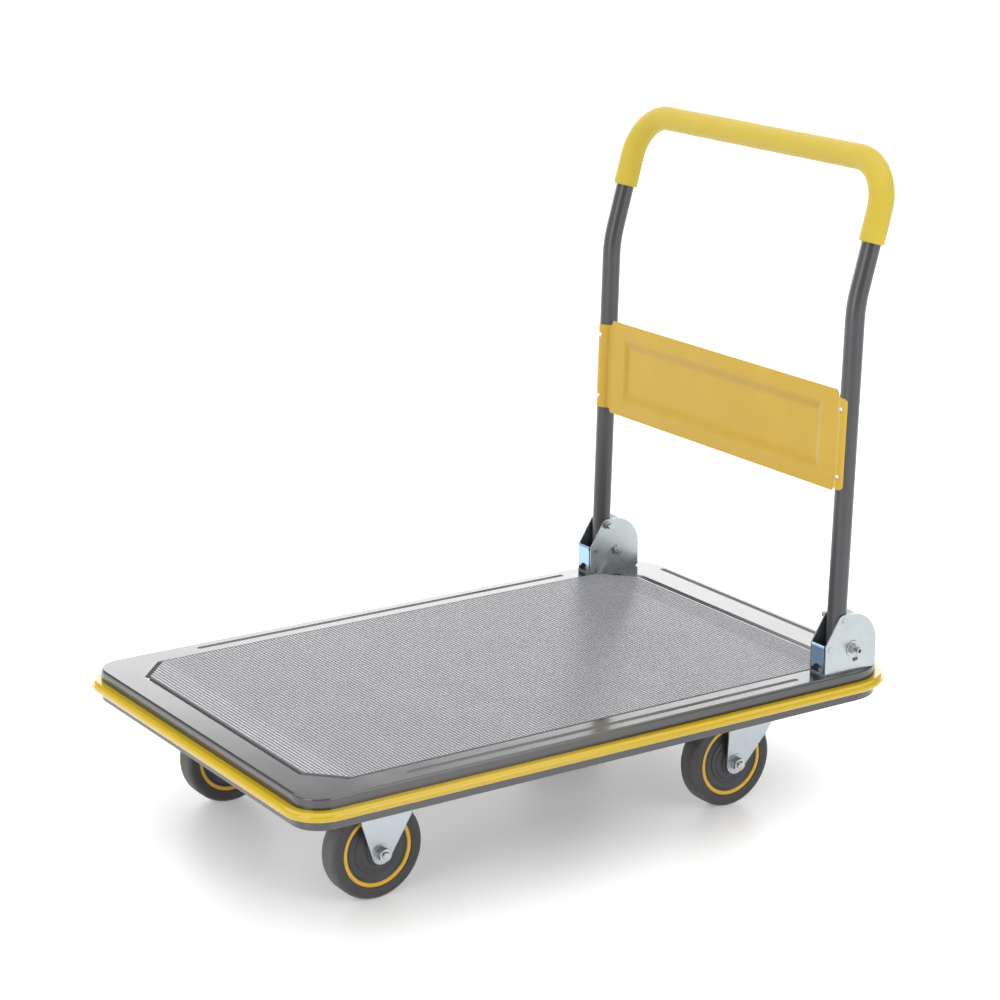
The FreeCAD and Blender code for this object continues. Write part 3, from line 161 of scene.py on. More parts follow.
class Surface:
    """A material with one principled shader, and short ways to add detail to it."""

    def __init__(self, name, colour, roughness, metallic=0.0, **sockets):
        self.name = name
        self.material = bpy.data.materials.new(name)
        self.material.use_nodes = True
        self.tree = self.material.node_tree
        self.shader = self.tree.nodes["Principled BSDF"]
        self.place = self.tree.nodes.new("ShaderNodeTexCoord").outputs["Object"]
        self.height = None
        self.shader.inputs["Base Color"].default_value = (*colour, 1)
        self.shader.inputs["Roughness"].default_value = roughness
        self.shader.inputs["Metallic"].default_value = metallic
        for socket, value in sockets.items():
            self.shader.inputs[socket.replace("_", " ")].default_value = value
        self.colour = (*colour, 1)

    def node(self, kind, **values):
        """A new shader node with some of its settings."""
        made = self.tree.nodes.new(kind)
        for key, value in values.items():
            setattr(made, key, value)
        return made

    def link(self, source, target):
        """Joins an output socket to an input socket."""
        self.tree.links.new(source, target)

    def stretched(self, scale):
        """Object coordinates scaled apart along X, Y and Z."""
        mapping = self.node("ShaderNodeMapping")
        mapping.inputs["Scale"].default_value = scale
        self.link(self.place, mapping.inputs["Vector"])
        return mapping.outputs["Vector"]

    def noise(self, per_metre, detail=4.0, grit=0.55, place=None):
        """A fractal noise from about 0 to 1, with more fine grain for a higher grit."""
        texture = self.node("ShaderNodeTexNoise")
        texture.inputs["Scale"].default_value = per_metre
        texture.inputs["Detail"].default_value = detail
        texture.inputs["Roughness"].default_value = grit
        self.link(place or self.place, texture.inputs["Vector"])
        return texture.outputs["Fac"]

    def ranged(self, value, low_in, high_in, low_out, high_out):
        """Maps one range of values to another and stays inside it."""
        mapped = self.node("ShaderNodeMapRange")
        for name, number in (("From Min", low_in), ("From Max", high_in),
                             ("To Min", low_out), ("To Max", high_out)):
            mapped.inputs[name].default_value = number
        self.link(value, mapped.inputs["Value"])
        return mapped.outputs["Result"]

    def patches(self, start, full, amount, **noise_values):
        """A factor that goes from 0 to an amount while a noise goes from start to full."""
        return self.ranged(self.noise(**noise_values), start, full, 0, amount)

    def tint(self, factor, colour):
        """Blends the base colour towards another where the factor is 1."""
        mix = self.node("ShaderNodeMix", data_type="RGBA")
        self.link(factor, mix.inputs["Factor"])
        base = self.shader.inputs["Base Color"]
        if base.is_linked:
            self.link(base.links[0].from_socket, mix.inputs["A"])
        else:
            mix.inputs["A"].default_value = self.colour
        mix.inputs["B"].default_value = (*colour, 1)
        self.link(mix.outputs["Result"], base)

    def roughen(self, factor, low, high):
        """Roughness from low where the factor is 0 to high where it is 1."""
        self.link(self.ranged(factor, 0, 1, low, high), self.shader.inputs["Roughness"])

    def bump(self, factor, depth, strength):
        """Adds relief of a real depth in metres."""
        bump = self.node("ShaderNodeBump")
        bump.inputs["Strength"].default_value = strength
        bump.inputs["Distance"].default_value = depth
        self.link(factor, bump.inputs["Height"])
        if self.height is not None:
            self.link(self.height, bump.inputs["Normal"])
        self.height = bump.outputs["Normal"]
        self.link(self.height, self.shader.inputs["Normal"])

    def attribute(self, name):
        """A value that the mesh carries at each vertex."""
        return self.node("ShaderNodeAttribute", attribute_name=name).outputs["Fac"]


def shaded(colour, gain, lift=0.0):
    """A colour times a gain, with a little grey added."""
    return tuple(min(1, part * gain + lift) for part in colour)


def floor_material():
    """A pale, slightly uneven studio floor."""
    surface = Surface("floor_white", (0.86, 0.86, 0.865), roughness=0.42,
                      Emission_Strength=0.22, Emission_Color=(1, 1, 1, 1))
    surface.bump(surface.noise(per_metre=9, detail=6), depth=1.5 * MM, strength=0.25)
    surface.roughen(surface.noise(per_metre=3), low=0.34, high=0.5)
    return surface.material


def powder_paint(name, colour, roughness, coat, coat_roughness=0.30, peel=0.05, ior=1.5):
    """Powder paint: fine orange peel, dusty patches and a few rubbed specks."""
    surface = Surface(name, colour, roughness, Coat_Weight=coat,
                      Coat_Roughness=coat_roughness, IOR=ior)
    dust = surface.patches(per_metre=14, detail=6, grit=0.65, start=0.45, full=0.75,
                           amount=0.3)
    surface.tint(dust, shaded(colour, gain=1.2, lift=0.008))
    scuff = surface.patches(per_metre=260, detail=8, grit=0.75, start=0.73, full=0.77,
                            amount=0.25, place=surface.stretched((1, 1, 0.35)))
    surface.tint(scuff, shaded(colour, gain=1.4, lift=0.02))
    surface.roughen(surface.noise(per_metre=30), low=roughness - 0.03, high=roughness + 0.05)
    surface.bump(surface.noise(per_metre=850, detail=2, grit=0.5), depth=0.03 * MM,
                 strength=peel)
    surface.bump(surface.noise(per_metre=40, detail=2), depth=0.3 * MM, strength=0.03)
    return surface


def panel_paint():
    """The panel's paint, darkened by painted shade on the tray's slopes, where the draw_lines_and_painted_shade
    attribute is above 0.
    """
    surface = powder_paint("panel_paint", (0.54, 0.33, 0.006), roughness=0.30, coat=0.2,
                           peel=0.03)
    # Painted shade: the tray's slopes are tinted darker, the upper slope more than the lower.
    slope = surface.ranged(surface.attribute("draw_lines_and_painted_shade"), 0, 1, 0, 0.45)
    surface.tint(slope, (0.40, 0.225, 0.003))
    return surface


def zinc_plate(name, colour, roughness):
    """Bright zinc plate: metal with a faint cloudy spangle and rubbing marks."""
    surface = Surface(name, colour, roughness, metallic=1.0)
    cloud = surface.patches(per_metre=55, detail=5, grit=0.6, start=0.35, full=0.7, amount=0.5)
    surface.tint(cloud, shaded(colour, gain=0.86))
    sheen = surface.patches(per_metre=16, detail=3, start=0.45, full=0.65, amount=0.25)
    surface.tint(sheen, shaded(colour, gain=1.12))
    draw_lines_and_painted_shade = surface.noise(per_metre=900, grit=0.6, place=surface.stretched((1, 1, 0.08)))
    surface.roughen(surface.noise(per_metre=120, grit=0.6), low=roughness - 0.06,
                    high=roughness + 0.10)
    surface.bump(draw_lines_and_painted_shade, depth=0.01 * MM, strength=0.25)
    surface.bump(surface.noise(per_metre=200, detail=3), depth=0.03 * MM, strength=0.15)
    return surface


def soft_rubber(name, colour, roughness, grain, depth, strength=0.3):
    """Moulded rubber with a fine grain and slight blooming."""
    surface = Surface(name, colour, roughness, Specular_IOR_Level=0.45)
    bloom = surface.patches(per_metre=12, detail=5, grit=0.6, start=0.42, full=0.72,
                            amount=0.3)
    surface.tint(bloom, shaded(colour, gain=1.25, lift=0.012))
    surface.roughen(surface.noise(per_metre=60), low=roughness - 0.04, high=roughness + 0.08)
    surface.bump(surface.noise(per_metre=grain, detail=3, grit=0.5), depth, strength)
    return surface


def tyre_rubber():
    """Tyre rubber with a dusty, slightly worn tread."""
    surface = soft_rubber("tyre_rubber", (0.046, 0.045, 0.046), roughness=0.50, grain=1400,
                          depth=0.05 * MM)
    dust = surface.ranged(surface.noise(per_metre=120, detail=8, grit=0.8), 0.35, 0.65,
                          0.1, 0.8)
    worn = surface.node("ShaderNodeMath", operation="MULTIPLY")
    surface.link(surface.attribute("tread"), worn.inputs[0])
    surface.link(dust, worn.inputs[1])
    surface.tint(worn.outputs["Value"], (0.13, 0.125, 0.12))
    return surface


def foam_grip():
    """Soft foamed vinyl: matt, finely pored, a little handled."""
    surface = Surface("grip_foam", (0.53, 0.395, 0.026), roughness=0.62, Sheen_Weight=0.25,
                      Sheen_Roughness=0.5, Subsurface_Weight=0.06, Subsurface_Scale=0.002)
    handled = surface.patches(per_metre=18, detail=6, grit=0.65, start=0.45, full=0.75,
                              amount=0.45)
    surface.tint(handled, (0.485, 0.345, 0.020))
    pores = surface.node("ShaderNodeTexVoronoi")
    pores.inputs["Scale"].default_value = 1100
    surface.link(surface.place, pores.inputs["Vector"])
    surface.bump(pores.outputs["Distance"], depth=0.10 * MM, strength=0.35)
    surface.bump(surface.noise(per_metre=160, detail=5), depth=0.4 * MM, strength=0.22)
    surface.roughen(surface.noise(per_metre=60), low=0.52, high=0.74)
    return surface


def gloss_vinyl():
    """Glossy extruded vinyl with long faint draw lines and light scuffs."""
    surface = Surface("bumper_vinyl", (0.52, 0.355, 0.002), roughness=0.20, Coat_Weight=0.5,
                      Coat_Roughness=0.05, Specular_IOR_Level=0.4)
    shade = surface.patches(per_metre=9, detail=3, grit=0.5, start=0.4, full=0.7, amount=0.3)
    surface.tint(shade, (0.465, 0.305, 0.002))
    scuff = surface.patches(per_metre=420, detail=9, grit=0.8, start=0.74, full=0.78,
                            amount=0.2)
    surface.tint(scuff, (0.30, 0.20, 0.01))
    draw_lines = surface.noise(per_metre=1600, detail=2, grit=0.5,
                               place=surface.stretched((0.02, 0.02, 1)))
    surface.bump(draw_lines, depth=0.02 * MM, strength=0.08)
    surface.roughen(surface.noise(per_metre=60), low=0.16, high=0.24)
    return surface


def moulded_plastic(name, colour, roughness, grain):
    """Moulded plastic with a fine grain and slightly uneven colour."""
    surface = Surface(name, colour, roughness)
    uneven = surface.patches(per_metre=40, detail=6, grit=0.7, start=0.4, full=0.7, amount=0.4)
    surface.tint(uneven, shaded(colour, gain=1.25, lift=0.01))
    surface.bump(surface.noise(per_metre=grain, detail=3), depth=0.05 * MM, strength=0.5)
    surface.roughen(surface.noise(per_metre=70), low=roughness - 0.06, high=roughness + 0.1)
    return surface


def make_materials():
    """One material for each slot of the record, by the slot's name."""
    surfaces = (
        powder_paint("deck_paint", (0.027, 0.027, 0.030), roughness=0.11, coat=0.31,
                     peel=0.012, ior=1.72),
        powder_paint("channel_paint", (0.04, 0.04, 0.043), roughness=0.42, coat=0.2),
        powder_paint("tube_paint", (0.043, 0.043, 0.047), roughness=0.30, coat=0.3,
                     coat_roughness=0.18, peel=0.02),
        panel_paint(),
        soft_rubber("mat_rubber", (0.215, 0.215, 0.233), roughness=0.25, grain=900,
                    depth=0.012 * MM, strength=0.06),
        gloss_vinyl(),
        foam_grip(),
        tyre_rubber(),
        moulded_plastic("rim_yellow", (0.70, 0.40, 0.035), roughness=0.36, grain=900),
        moulded_plastic("hub_plastic", (0.046, 0.046, 0.050), roughness=0.46, grain=1300),
        zinc_plate("fastener_zinc", (0.47, 0.49, 0.50), roughness=0.20),
        zinc_plate("sleeve_steel", (0.48, 0.48, 0.49), roughness=0.34),
        zinc_plate("castor_zinc", (0.43, 0.47, 0.505), roughness=0.31),
        zinc_plate("bracket_zinc", (0.464, 0.509, 0.52), roughness=0.28),
        zinc_plate("latch_zinc", (0.41, 0.61, 0.84), roughness=0.22),
        zinc_plate("spring_steel", (0.30, 0.30, 0.31), roughness=0.30),
        zinc_plate("rivet_aluminium", (0.80, 0.80, 0.81), roughness=0.30),
    )
    return {surface.name: surface.material for surface in surfaces}


MATERIALS = make_materials()


# ---------------------------------------------------------------- mesh helpers

def new_piece(name, vertices, faces, node):
    """A finished piece that stands for a CAD node and rides on its body."""
    mesh = bpy.data.meshes.new(name)
    mesh.from_pydata([tuple(v) for v in vertices], [], faces)
    mesh.validate()
    piece = bpy.data.objects.new(name, mesh)
    bpy.context.scene.collection.objects.link(piece)
    mesh.materials.append(MATERIALS[NODE_SLOT[node]])
    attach(piece, NODE_BODY[node])
    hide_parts(node)
    return piece


def apply_modifiers(piece):
    """Turns the piece's modifiers into mesh."""
    graph = bpy.context.evaluated_depsgraph_get()
    done = bpy.data.meshes.new_from_object(piece.evaluated_get(graph))
    piece.modifiers.clear()
    old = piece.data
    piece.data = done
    bpy.data.meshes.remove(old)


def smooth_by_angle(mesh, degrees):
    """Smooth shading, with edges sharper than an angle kept sharp."""
    limit = math.radians(degrees)
    shape = bmesh.new()
    shape.from_mesh(mesh)
    for edge in shape.edges:
        edge.smooth = len(edge.link_faces) == 2 and edge.calc_face_angle(0) <= limit
    for face in shape.faces:
        face.smooth = True
    shape.to_mesh(mesh)
    shape.free()


MERGE_DISTANCE = 0.003 * MM
FLAT_ANGLE = math.radians(0.6)
BEVEL_ANGLE = math.radians(32)
BEVEL_SEGMENTS = 2
NORMAL_WEIGHT = 90
# The sharpest edge that is shaded smooth on each kind of piece, in degrees.
REFINED_SMOOTH = 38
LATHE_SMOOTH = 30
MAT_SMOOTH = 25
GRIP_SMOOTH = 50
PANEL_SMOOTH = 40


def refined(node, bevel):
    """A copy of a CAD node with its sharp edges rounded by a small real bevel."""
    shape = bmesh.new()
    shape.from_mesh(NODES[node].data)
    bmesh.ops.remove_doubles(shape, verts=shape.verts, dist=MERGE_DISTANCE)
    bmesh.ops.dissolve_limit(shape, angle_limit=FLAT_ANGLE, verts=shape.verts,
                             edges=shape.edges)
    mesh = bpy.data.meshes.new(node + "_finish")
    shape.to_mesh(mesh)
    shape.free()
    piece = bpy.data.objects.new(node + "_finish", mesh)
    bpy.context.scene.collection.objects.link(piece)
    mesh.materials.append(MATERIALS[NODE_SLOT[node]])
    rounding = piece.modifiers.new("rounding", "BEVEL")
    rounding.width = bevel
    rounding.segments = BEVEL_SEGMENTS
    rounding.limit_method = "ANGLE"
    rounding.angle_limit = BEVEL_ANGLE
    rounding.use_clamp_overlap = True
    apply_modifiers(piece)
    smooth_by_angle(piece.data, REFINED_SMOOTH)
    flatness = piece.modifiers.new("flatness", "WEIGHTED_NORMAL")
    flatness.keep_sharp = True
    flatness.weight = NORMAL_WEIGHT
    apply_modifiers(piece)
    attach(piece, NODE_BODY[node])
    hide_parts(node)


def arc_points(centre, radius, start, end, count):
    """Points (u, v) on an arc between two angles in degrees, ends included."""
    points = []
    for step in range(count + 1):
        angle = math.radians(start + (end - start) * step / count)
        points.append((centre[0] + radius * math.cos(angle), centre[1] + radius * math.sin(angle)))
    return points


def lathe(name, outline, centre, node, segments):
    """A body turned about Y from a closed (radius, offset) outline in millimetres."""
    vertices = []
    for step in range(segments):
        angle = 2 * math.pi * step / segments
        for radius, offset in outline:
            vertices.append((centre[0] + radius * MM * math.cos(angle), centre[1] + offset * MM,
                             centre[2] + radius * MM * math.sin(angle)))
    count = len(outline)
    faces = []
    for step in range(segments):
        following = (step + 1) % segments
        for index in range(count):
            beside = (index + 1) % count
            faces.append((step * count + index, step * count + beside,
                          following * count + beside, following * count + index))
    piece = new_piece(name, vertices, faces, node)
    smooth_by_angle(piece.data, LATHE_SMOOTH)
    return piece


# ---------------------------------------------------------------- wheels

WHEEL_SEGMENTS = 160
HUB_SEGMENTS = 96
# The tyre's wear starts at this radius and is full this much further out, in millimetres.
TREAD_START = 57
TREAD_BLEND = 5


def mirrored_outline(half):
    """A closed (radius, offset) outline from the half of it on one side of the wheel."""
    return half + [(radius, -offset) for radius, offset in reversed(half)]


def wheel_centre(prefix):
    """The middle of a wheel, from the box of its tyre in CAD."""
    low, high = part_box(prefix + "tyre")
    return (low + high) / 2


def tyre_outline():
    """A slightly crowned tread with round shoulders, a fine parting line and a bead lip."""
    half = [(47.0, 14.5), (48.2, 14.9), (49.0, 14.6), (50.0, 14.6), (51.0, 15.0), (54.5, 15.45)]
    half += arc_points((55.8, 8.6), 6.7, 75, 12, 8)
    half += [(62.42, 6.0), (62.48, 3.0), (62.5, 0.5), (62.5, 0.25)]
    return mirrored_outline(half)


def rim_outline():
    """The coloured ring: a rounded lip and a shallow groove."""
    half = [(41.5, 12.4), (41.7, 13.2), (42.3, 13.8), (43.2, 14.0), (45.4, 14.0), (46.2, 13.8),
            (46.7, 13.5), (47.0, 13.2)]
    return [(radius, -offset) for radius, offset in reversed(half)] + half


def hub_outline():
    """The wheel centre: rim seat, dished face, stepped rings and a long boss."""
    half = [(41.5, 12.6), (40.6, 12.8), (39.8, 12.5), (39.0, 11.7), (38.0, 11.3), (31.2, 11.3),
            (30.6, 11.7), (30.2, 12.6), (29.6, 13.0), (25.4, 13.4), (24.8, 13.8), (24.4, 14.6),
            (23.8, 15.0), (18.4, 15.3), (17.6, 15.8), (17.3, 16.6), (17.1, 18.8), (16.6, 19.6),
            (15.8, 20.0), (12.3, 20.0), (11.5, 19.2)]
    return mirrored_outline(half)


def make_wheels():
    """Each wheel's tyre, coloured ring and hub; the tread is marked for the tyre's wear."""
    for end in ENDS:
        for side_name in SIDES:
            prefix = "{}_{}_".format(end, side_name)
            place = wheel_centre(prefix)
            tyre = lathe(prefix + "tyre_finish", tyre_outline(), place, prefix + "tyre",
                         WHEEL_SEGMENTS)
            tread = tyre.data.attributes.new("tread", "FLOAT", "POINT")
            for index, vertex in enumerate(tyre.data.vertices):
                radius = math.hypot(vertex.co.x - place.x, vertex.co.z - place.z)
                share = (radius / MM - TREAD_START) / TREAD_BLEND
                tread.data[index].value = min(1, max(0, share))
            lathe(prefix + "rim_finish", rim_outline(), place, prefix + "rim", WHEEL_SEGMENTS)
            lathe(prefix + "hub_finish", hub_outline(), place, prefix + "hub", HUB_SEGMENTS)


# ---------------------------------------------------------------- mat

RIB_PITCH = 4.8 * MM
RIB_DEPTH = 1.0 * MM
MAT_CHAMFER_X = 41 * MM
MAT_CHAMFER_Y = 44 * MM
# (place along one pitch, depth as a share of RIB_DEPTH) across one rib and its groove.
RIB_PROFILE = ((0.0, 1.0), (0.14, 1.0), (0.28, 0.12), (0.36, 0.0), (0.78, 0.0), (0.86, 0.12))
# The same share at the mat's two ends.
MAT_EDGE_DEPTH = 0.3


def make_mat():
    """The mat is eight-sided, and its fine ribs run across the platform."""
    low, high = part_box("deck_mat")

    def half_width(x):
        """Half the mat's width at a place along it."""
        inside = min(x - low.x, high.x - x, MAT_CHAMFER_X)
        return high.y - MAT_CHAMFER_Y * (1 - inside / MAT_CHAMFER_X)

    stations = [(low.x, MAT_EDGE_DEPTH)]
    count = int((high.x - low.x) / RIB_PITCH)
    margin = ((high.x - low.x) - count * RIB_PITCH) / 2
    for rib in range(count):
        for phase, depth in RIB_PROFILE:
            stations.append((low.x + margin + (rib + phase) * RIB_PITCH, depth))
    stations.append((high.x, MAT_EDGE_DEPTH))
    vertices = []
    for x, depth in stations:
        y = half_width(x)
        top = high.z - depth * RIB_DEPTH
        vertices += [(x, -y, low.z), (x, -y, top), (x, y, top), (x, y, low.z)]
    faces = [(0, 1, 2, 3)]
    for index in range(len(stations) - 1):
        a = 4 * index
        b = a + 4
        faces += [(a + 1, b + 1, b + 2, a + 2), (a, b, b + 1, a + 1),
                  (a + 2, b + 2, b + 3, a + 3), (a + 3, b + 3, b, a)]
    last = 4 * (len(stations) - 1)
    faces.append((last + 3, last + 2, last + 1, last))
    mat = new_piece("deck_mat_finish", vertices, faces, "deck_mat")
    smooth_by_angle(mat.data, MAT_SMOOTH)


# ---------------------------------------------------------------- handle

# The tube's centre line: two straight runs on each side, and a bar between round corners.
PIVOT = Vector(JOINTS["handle_fold"]["pos_m"])
HANDLE_Y = 257 * MM
LOWER_LEAN = math.radians(1.6)
UPPER_LEAN = math.radians(15.7)
ELBOW_Z = 658 * MM
BAR_Z = 830.5 * MM
CORNER_RADIUS = 60 * MM
TUBE_RADIUS = 12.5 * MM
GRIP_RADIUS = 16.4 * MM
GRIP_END_Z = 733 * MM


def grip_line(spacing):
    """Points and directions along the grip, from its lower end over the bar to the other."""
    elbow_x = PIVOT.x + (ELBOW_Z - PIVOT.z) * math.tan(LOWER_LEAN)
    slope = math.tan(UPPER_LEAN)
    rise = Vector((math.sin(UPPER_LEAN), 0, math.cos(UPPER_LEAN)))
    foot = Vector((elbow_x + (GRIP_END_Z - ELBOW_Z) * slope, HANDLE_Y, GRIP_END_Z))
    corner = Vector((elbow_x + (BAR_Z - ELBOW_Z) * slope, HANDLE_Y, BAR_Z))
    inward = Vector((0, -1, 0))
    arc_start = corner - rise * CORNER_RADIUS
    arc_centre = arc_start + inward * CORNER_RADIUS
    points = []
    arm = (arc_start - foot).length
    steps = int(arm / spacing)
    for step in range(steps):
        points.append((foot + rise * arm * step / steps, rise))
    steps = int(CORNER_RADIUS * math.pi / 2 / spacing)
    for step in range(steps):
        angle = math.pi / 2 * step / steps
        place = arc_centre - inward * CORNER_RADIUS * math.cos(angle)
        place = place + rise * CORNER_RADIUS * math.sin(angle)
        points.append((place, rise * math.cos(angle) + inward * math.sin(angle)))
    bar_start = arc_centre + rise * CORNER_RADIUS
    steps = int(bar_start.y / spacing)
    for step in range(steps + 1):
        y = bar_start.y * (1 - step / steps)
        points.append((Vector((bar_start.x, y, bar_start.z)), inward))
    mirrored = [(Vector((p.x, -p.y, p.z)), Vector((-d.x, d.y, -d.z))) for p, d in points[:-1]]
    return points + mirrored[::-1]


GRIP_SPACING = 2.5 * MM
GRIP_AROUND = 56
GRIP_ROLL = 2.2 * MM
GRIP_ROLL_STEPS = 4
GRIP_BORE = TUBE_RADIUS + 0.05 * MM
# (depth, radius) of the rings inside each open end, from the bore out to its flared mouth.
GRIP_END_RINGS = ((6 * MM, GRIP_BORE), (0.4 * MM, GRIP_BORE), (0, GRIP_BORE + 0.5 * MM))
# The sleeve's unevenness: the scale of each noise in 1/m, and its height.
GRIP_SWELLS = ((28, 0.28 * MM), (90, 0.08 * MM))


def grip_end_rings(place, heading, inward):
    """(place, heading, radius, unevenness) from inside the bore to the outside of one end."""
    rings = [(place + inward * depth, heading, radius, 0) for depth, radius in GRIP_END_RINGS]
    for step in range(GRIP_ROLL_STEPS + 1):
        angle = math.pi / 2 * step / GRIP_ROLL_STEPS
        radius = GRIP_RADIUS - GRIP_ROLL * (1 - math.sin(angle))
        rings.append((place + inward * GRIP_ROLL * (1 - math.cos(angle)), heading, radius, 0))
    return rings


def make_grip():
    """A foamed sleeve, faintly uneven, with rolled ends and a snug bore."""
    line = grip_line(GRIP_SPACING)
    start, direction = line[0]
    finish, last_direction = line[-1]
    rings = grip_end_rings(start, direction, direction)
    rings += [(place, heading, GRIP_RADIUS, 1) for place, heading in line[2:-2]]
    rings += grip_end_rings(finish, last_direction, -last_direction)[::-1]
    lean_axis = Vector((math.cos(UPPER_LEAN), 0, -math.sin(UPPER_LEAN)))
    vertices = []
    for place, heading, radius, uneven in rings:
        side = heading.cross(lean_axis).normalized()
        for step in range(GRIP_AROUND):
            angle = 2 * math.pi * step / GRIP_AROUND
            out = lean_axis * math.cos(angle) + side * math.sin(angle)
            spot = place + out * radius
            swell = sum(noise.noise(spot * scale) * height for scale, height in GRIP_SWELLS)
            vertices.append(spot + out * (swell * uneven))
    faces = []
    for ring in range(len(rings) - 1):
        for step in range(GRIP_AROUND):
            beside = (step + 1) % GRIP_AROUND
            faces.append((ring * GRIP_AROUND + step, ring * GRIP_AROUND + beside,
                          (ring + 1) * GRIP_AROUND + beside, (ring + 1) * GRIP_AROUND + step))
    grip = new_piece("handle_grip_finish", vertices, faces, "handle_grip")
    smooth_by_angle(grip.data, GRIP_SMOOTH)


# The panel's sheet stands ahead of the tubes' line, and its ends wrap round their front.
PANEL_LOW, PANEL_HIGH = 417 * MM, 548 * MM
WRAP_LOW, WRAP_HIGH = 423 * MM, 541 * MM
PANEL_SHEET = 1.2 * MM
PANEL_FORWARD = 5.2 * MM
PANEL_BEND = 5 * MM
PANEL_WRAP = math.radians(38.5)
WRAP_GAP = 0.1 * MM
# (half width, half height) of the tray at the top and at the foot of its slopes.
TRAY_OUTER = (212 * MM, 47.5 * MM)
TRAY_INNER = (200 * MM, 27 * MM)
TRAY_DEPTH = 3 * MM
PANEL_CORNER = 6 * MM
PANEL_SHOULDER = 238.5 * MM
PANEL_SHOULDER_WIDTH = 3.5 * MM
PANEL_ROWS = 96
SHEET_STEPS = 120
BEND_STEPS = 8
WRAP_STEPS = 30
WRAP_CROWDING = 1.3
# The share of the slopes' painted shade that the lower slope gets.
LOWER_SLOPE_SHADE = 0.6


def panel_columns():
    """(x, y, distance to the wrapped tip) along the middle of the sheet's right half."""
    middle = TUBE_RADIUS + WRAP_GAP + PANEL_SHEET / 2
    bend_x = -PANEL_FORWARD - PANEL_BEND
    reach = middle + PANEL_BEND
    bend_y = HANDLE_Y - math.sqrt(reach * reach - bend_x * bend_x)
    meet = math.atan2(bend_y - HANDLE_Y, bend_x) + 2 * math.pi
    finish = math.pi - PANEL_WRAP
    wrap_length = (meet - finish) * middle
    bend_sweep = meet - math.pi
    bend_length = bend_sweep * PANEL_BEND
    columns = []
    for step in range(SHEET_STEPS):
        y = bend_y * step / SHEET_STEPS
        columns.append((-PANEL_FORWARD, y, bend_length + wrap_length + bend_y - y))
    for step in range(BEND_STEPS):
        angle = bend_sweep * step / BEND_STEPS
        columns.append((bend_x + PANEL_BEND * math.cos(angle),
                        bend_y + PANEL_BEND * math.sin(angle),
                        wrap_length + bend_length - angle * PANEL_BEND))
    for step in range(WRAP_STEPS + 1):
        share = 1 - (1 - step / WRAP_STEPS) ** WRAP_CROWDING
        angle = meet + (finish - meet) * share
        columns.append((middle * math.cos(angle), HANDLE_Y + middle * math.sin(angle),
                        wrap_length * (1 - share)))
    return columns


def smooth_step(value):
    """Eases from 0 to 1 while the value goes from 0 to 1."""
    value = min(1, max(0, value))
    return value * value * (3 - 2 * value)


def panel_limits(y, to_tip):
    """The sheet's lower and upper edge at one column, with its rounded corners."""
    trim = 0.0
    if to_tip < PANEL_CORNER:
        trim = PANEL_CORNER - math.sqrt(PANEL_CORNER ** 2 - (PANEL_CORNER - to_tip) ** 2)
    step = smooth_step((y - PANEL_SHOULDER) / PANEL_SHOULDER_WIDTH)
    low = PANEL_LOW + (WRAP_LOW - PANEL_LOW) * step
    high = PANEL_HIGH + (WRAP_HIGH - PANEL_HIGH) * step
    return low + trim, high - trim


def tray_share(y, z):
    """0 on the panel's border, 1 on the tray's floor, and between them on its slopes."""
    from_middle = abs(z - (PANEL_LOW + PANEL_HIGH) / 2)
    across = (TRAY_OUTER[0] - abs(y)) / (TRAY_OUTER[0] - TRAY_INNER[0])
    up = (TRAY_OUTER[1] - from_middle) / (TRAY_OUTER[1] - TRAY_INNER[1])
    return smooth_step(min(across, up))


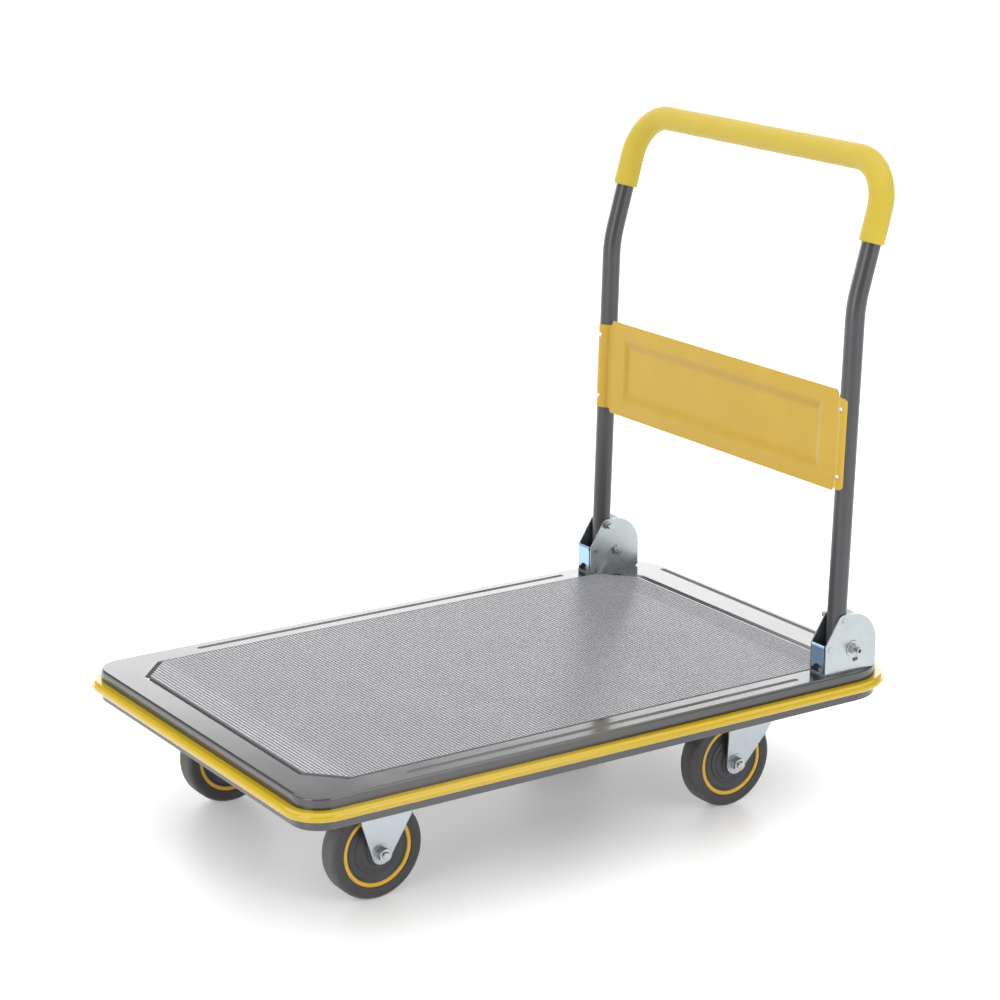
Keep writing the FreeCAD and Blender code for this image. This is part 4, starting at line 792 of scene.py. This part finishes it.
def make_panel():
    """The pressed panel: a shallow tray in the middle, ends wrapped round the tubes."""
    half = panel_columns()
    columns = [(x, -y, tip) for x, y, tip in reversed(half[1:])] + half
    lean = Matrix.Rotation(LOWER_LEAN, 3, "Y")
    vertices = []
    slopes = []
    for x, y, tip in columns:
        low, high = panel_limits(abs(y), tip)
        for row in range(PANEL_ROWS + 1):
            z = low + (high - low) * row / PANEL_ROWS
            share = tray_share(y, z)
            spot = Vector((x + TRAY_DEPTH * share, y, z - PIVOT.z))
            vertices.append(lean @ spot + Vector((PIVOT.x, 0, PIVOT.z)))
            # The upper slope gets more painted shade than the lower one.
            shade = 1.0 if row > PANEL_ROWS / 2 else LOWER_SLOPE_SHADE
            slopes.append(4 * share * (1 - share) * shade)
    faces = []
    for column in range(len(columns) - 1):
        for row in range(PANEL_ROWS):
            a = column * (PANEL_ROWS + 1) + row
            b = a + PANEL_ROWS + 1
            faces.append((a, a + 1, b + 1, b))
    panel = new_piece("handle_panel_finish", vertices, faces, "handle_panel")
    # This attribute carries the painted shade of the tray's slopes: full on the upper slope, LOWER_SLOPE_SHADE of
    # it on the lower.
    draw_lines_and_painted_shade = panel.data.attributes.new("draw_lines_and_painted_shade", "FLOAT", "POINT")
    draw_lines_and_painted_shade.data.foreach_set("value", slopes)
    skin = panel.modifiers.new("sheet", "SOLIDIFY")
    skin.thickness = PANEL_SHEET
    skin.offset = 0
    apply_modifiers(panel)
    smooth_by_angle(panel.data, PANEL_SMOOTH)


# ---------------------------------------------------------------- everything else

BRACKET_BEVEL = 0.35 * MM
CASTOR_BEVEL = 0.4 * MM
SMALL_BEVEL = 0.25 * MM
REFINED_FASTENERS = ("latch_nuts", "latch_bolts", "latch_washers", "front_axle_nuts",
                     "front_axle_bolts", "bracket_bolts", "latch_stop_pins",
                     "handle_pivot_pins")


def make_refined_pieces():
    """Pressed and machined metal pieces get real rounded edges."""
    for name in SIDES:
        refined("bracket_" + name, BRACKET_BEVEL)
        refined("latch_" + name, SMALL_BEVEL)
        refined("front_{}_fork".format(name), CASTOR_BEVEL)
        refined("rear_{}_yoke".format(name), CASTOR_BEVEL)
        refined("rear_{}_top_plate".format(name), CASTOR_BEVEL)
    for node in REFINED_FASTENERS:
        refined(node, SMALL_BEVEL)


def paint_cad_nodes():
    """CAD nodes that stay get the detailed material of their slot."""
    for node, obj in NODES.items():
        for index in range(len(obj.data.materials)):
            obj.data.materials[index] = MATERIALS[NODE_SLOT[node]]


make_camera()
make_studio()
paint_cad_nodes()
make_wheels()
make_mat()
make_grip()
make_panel()
make_refined_pieces()
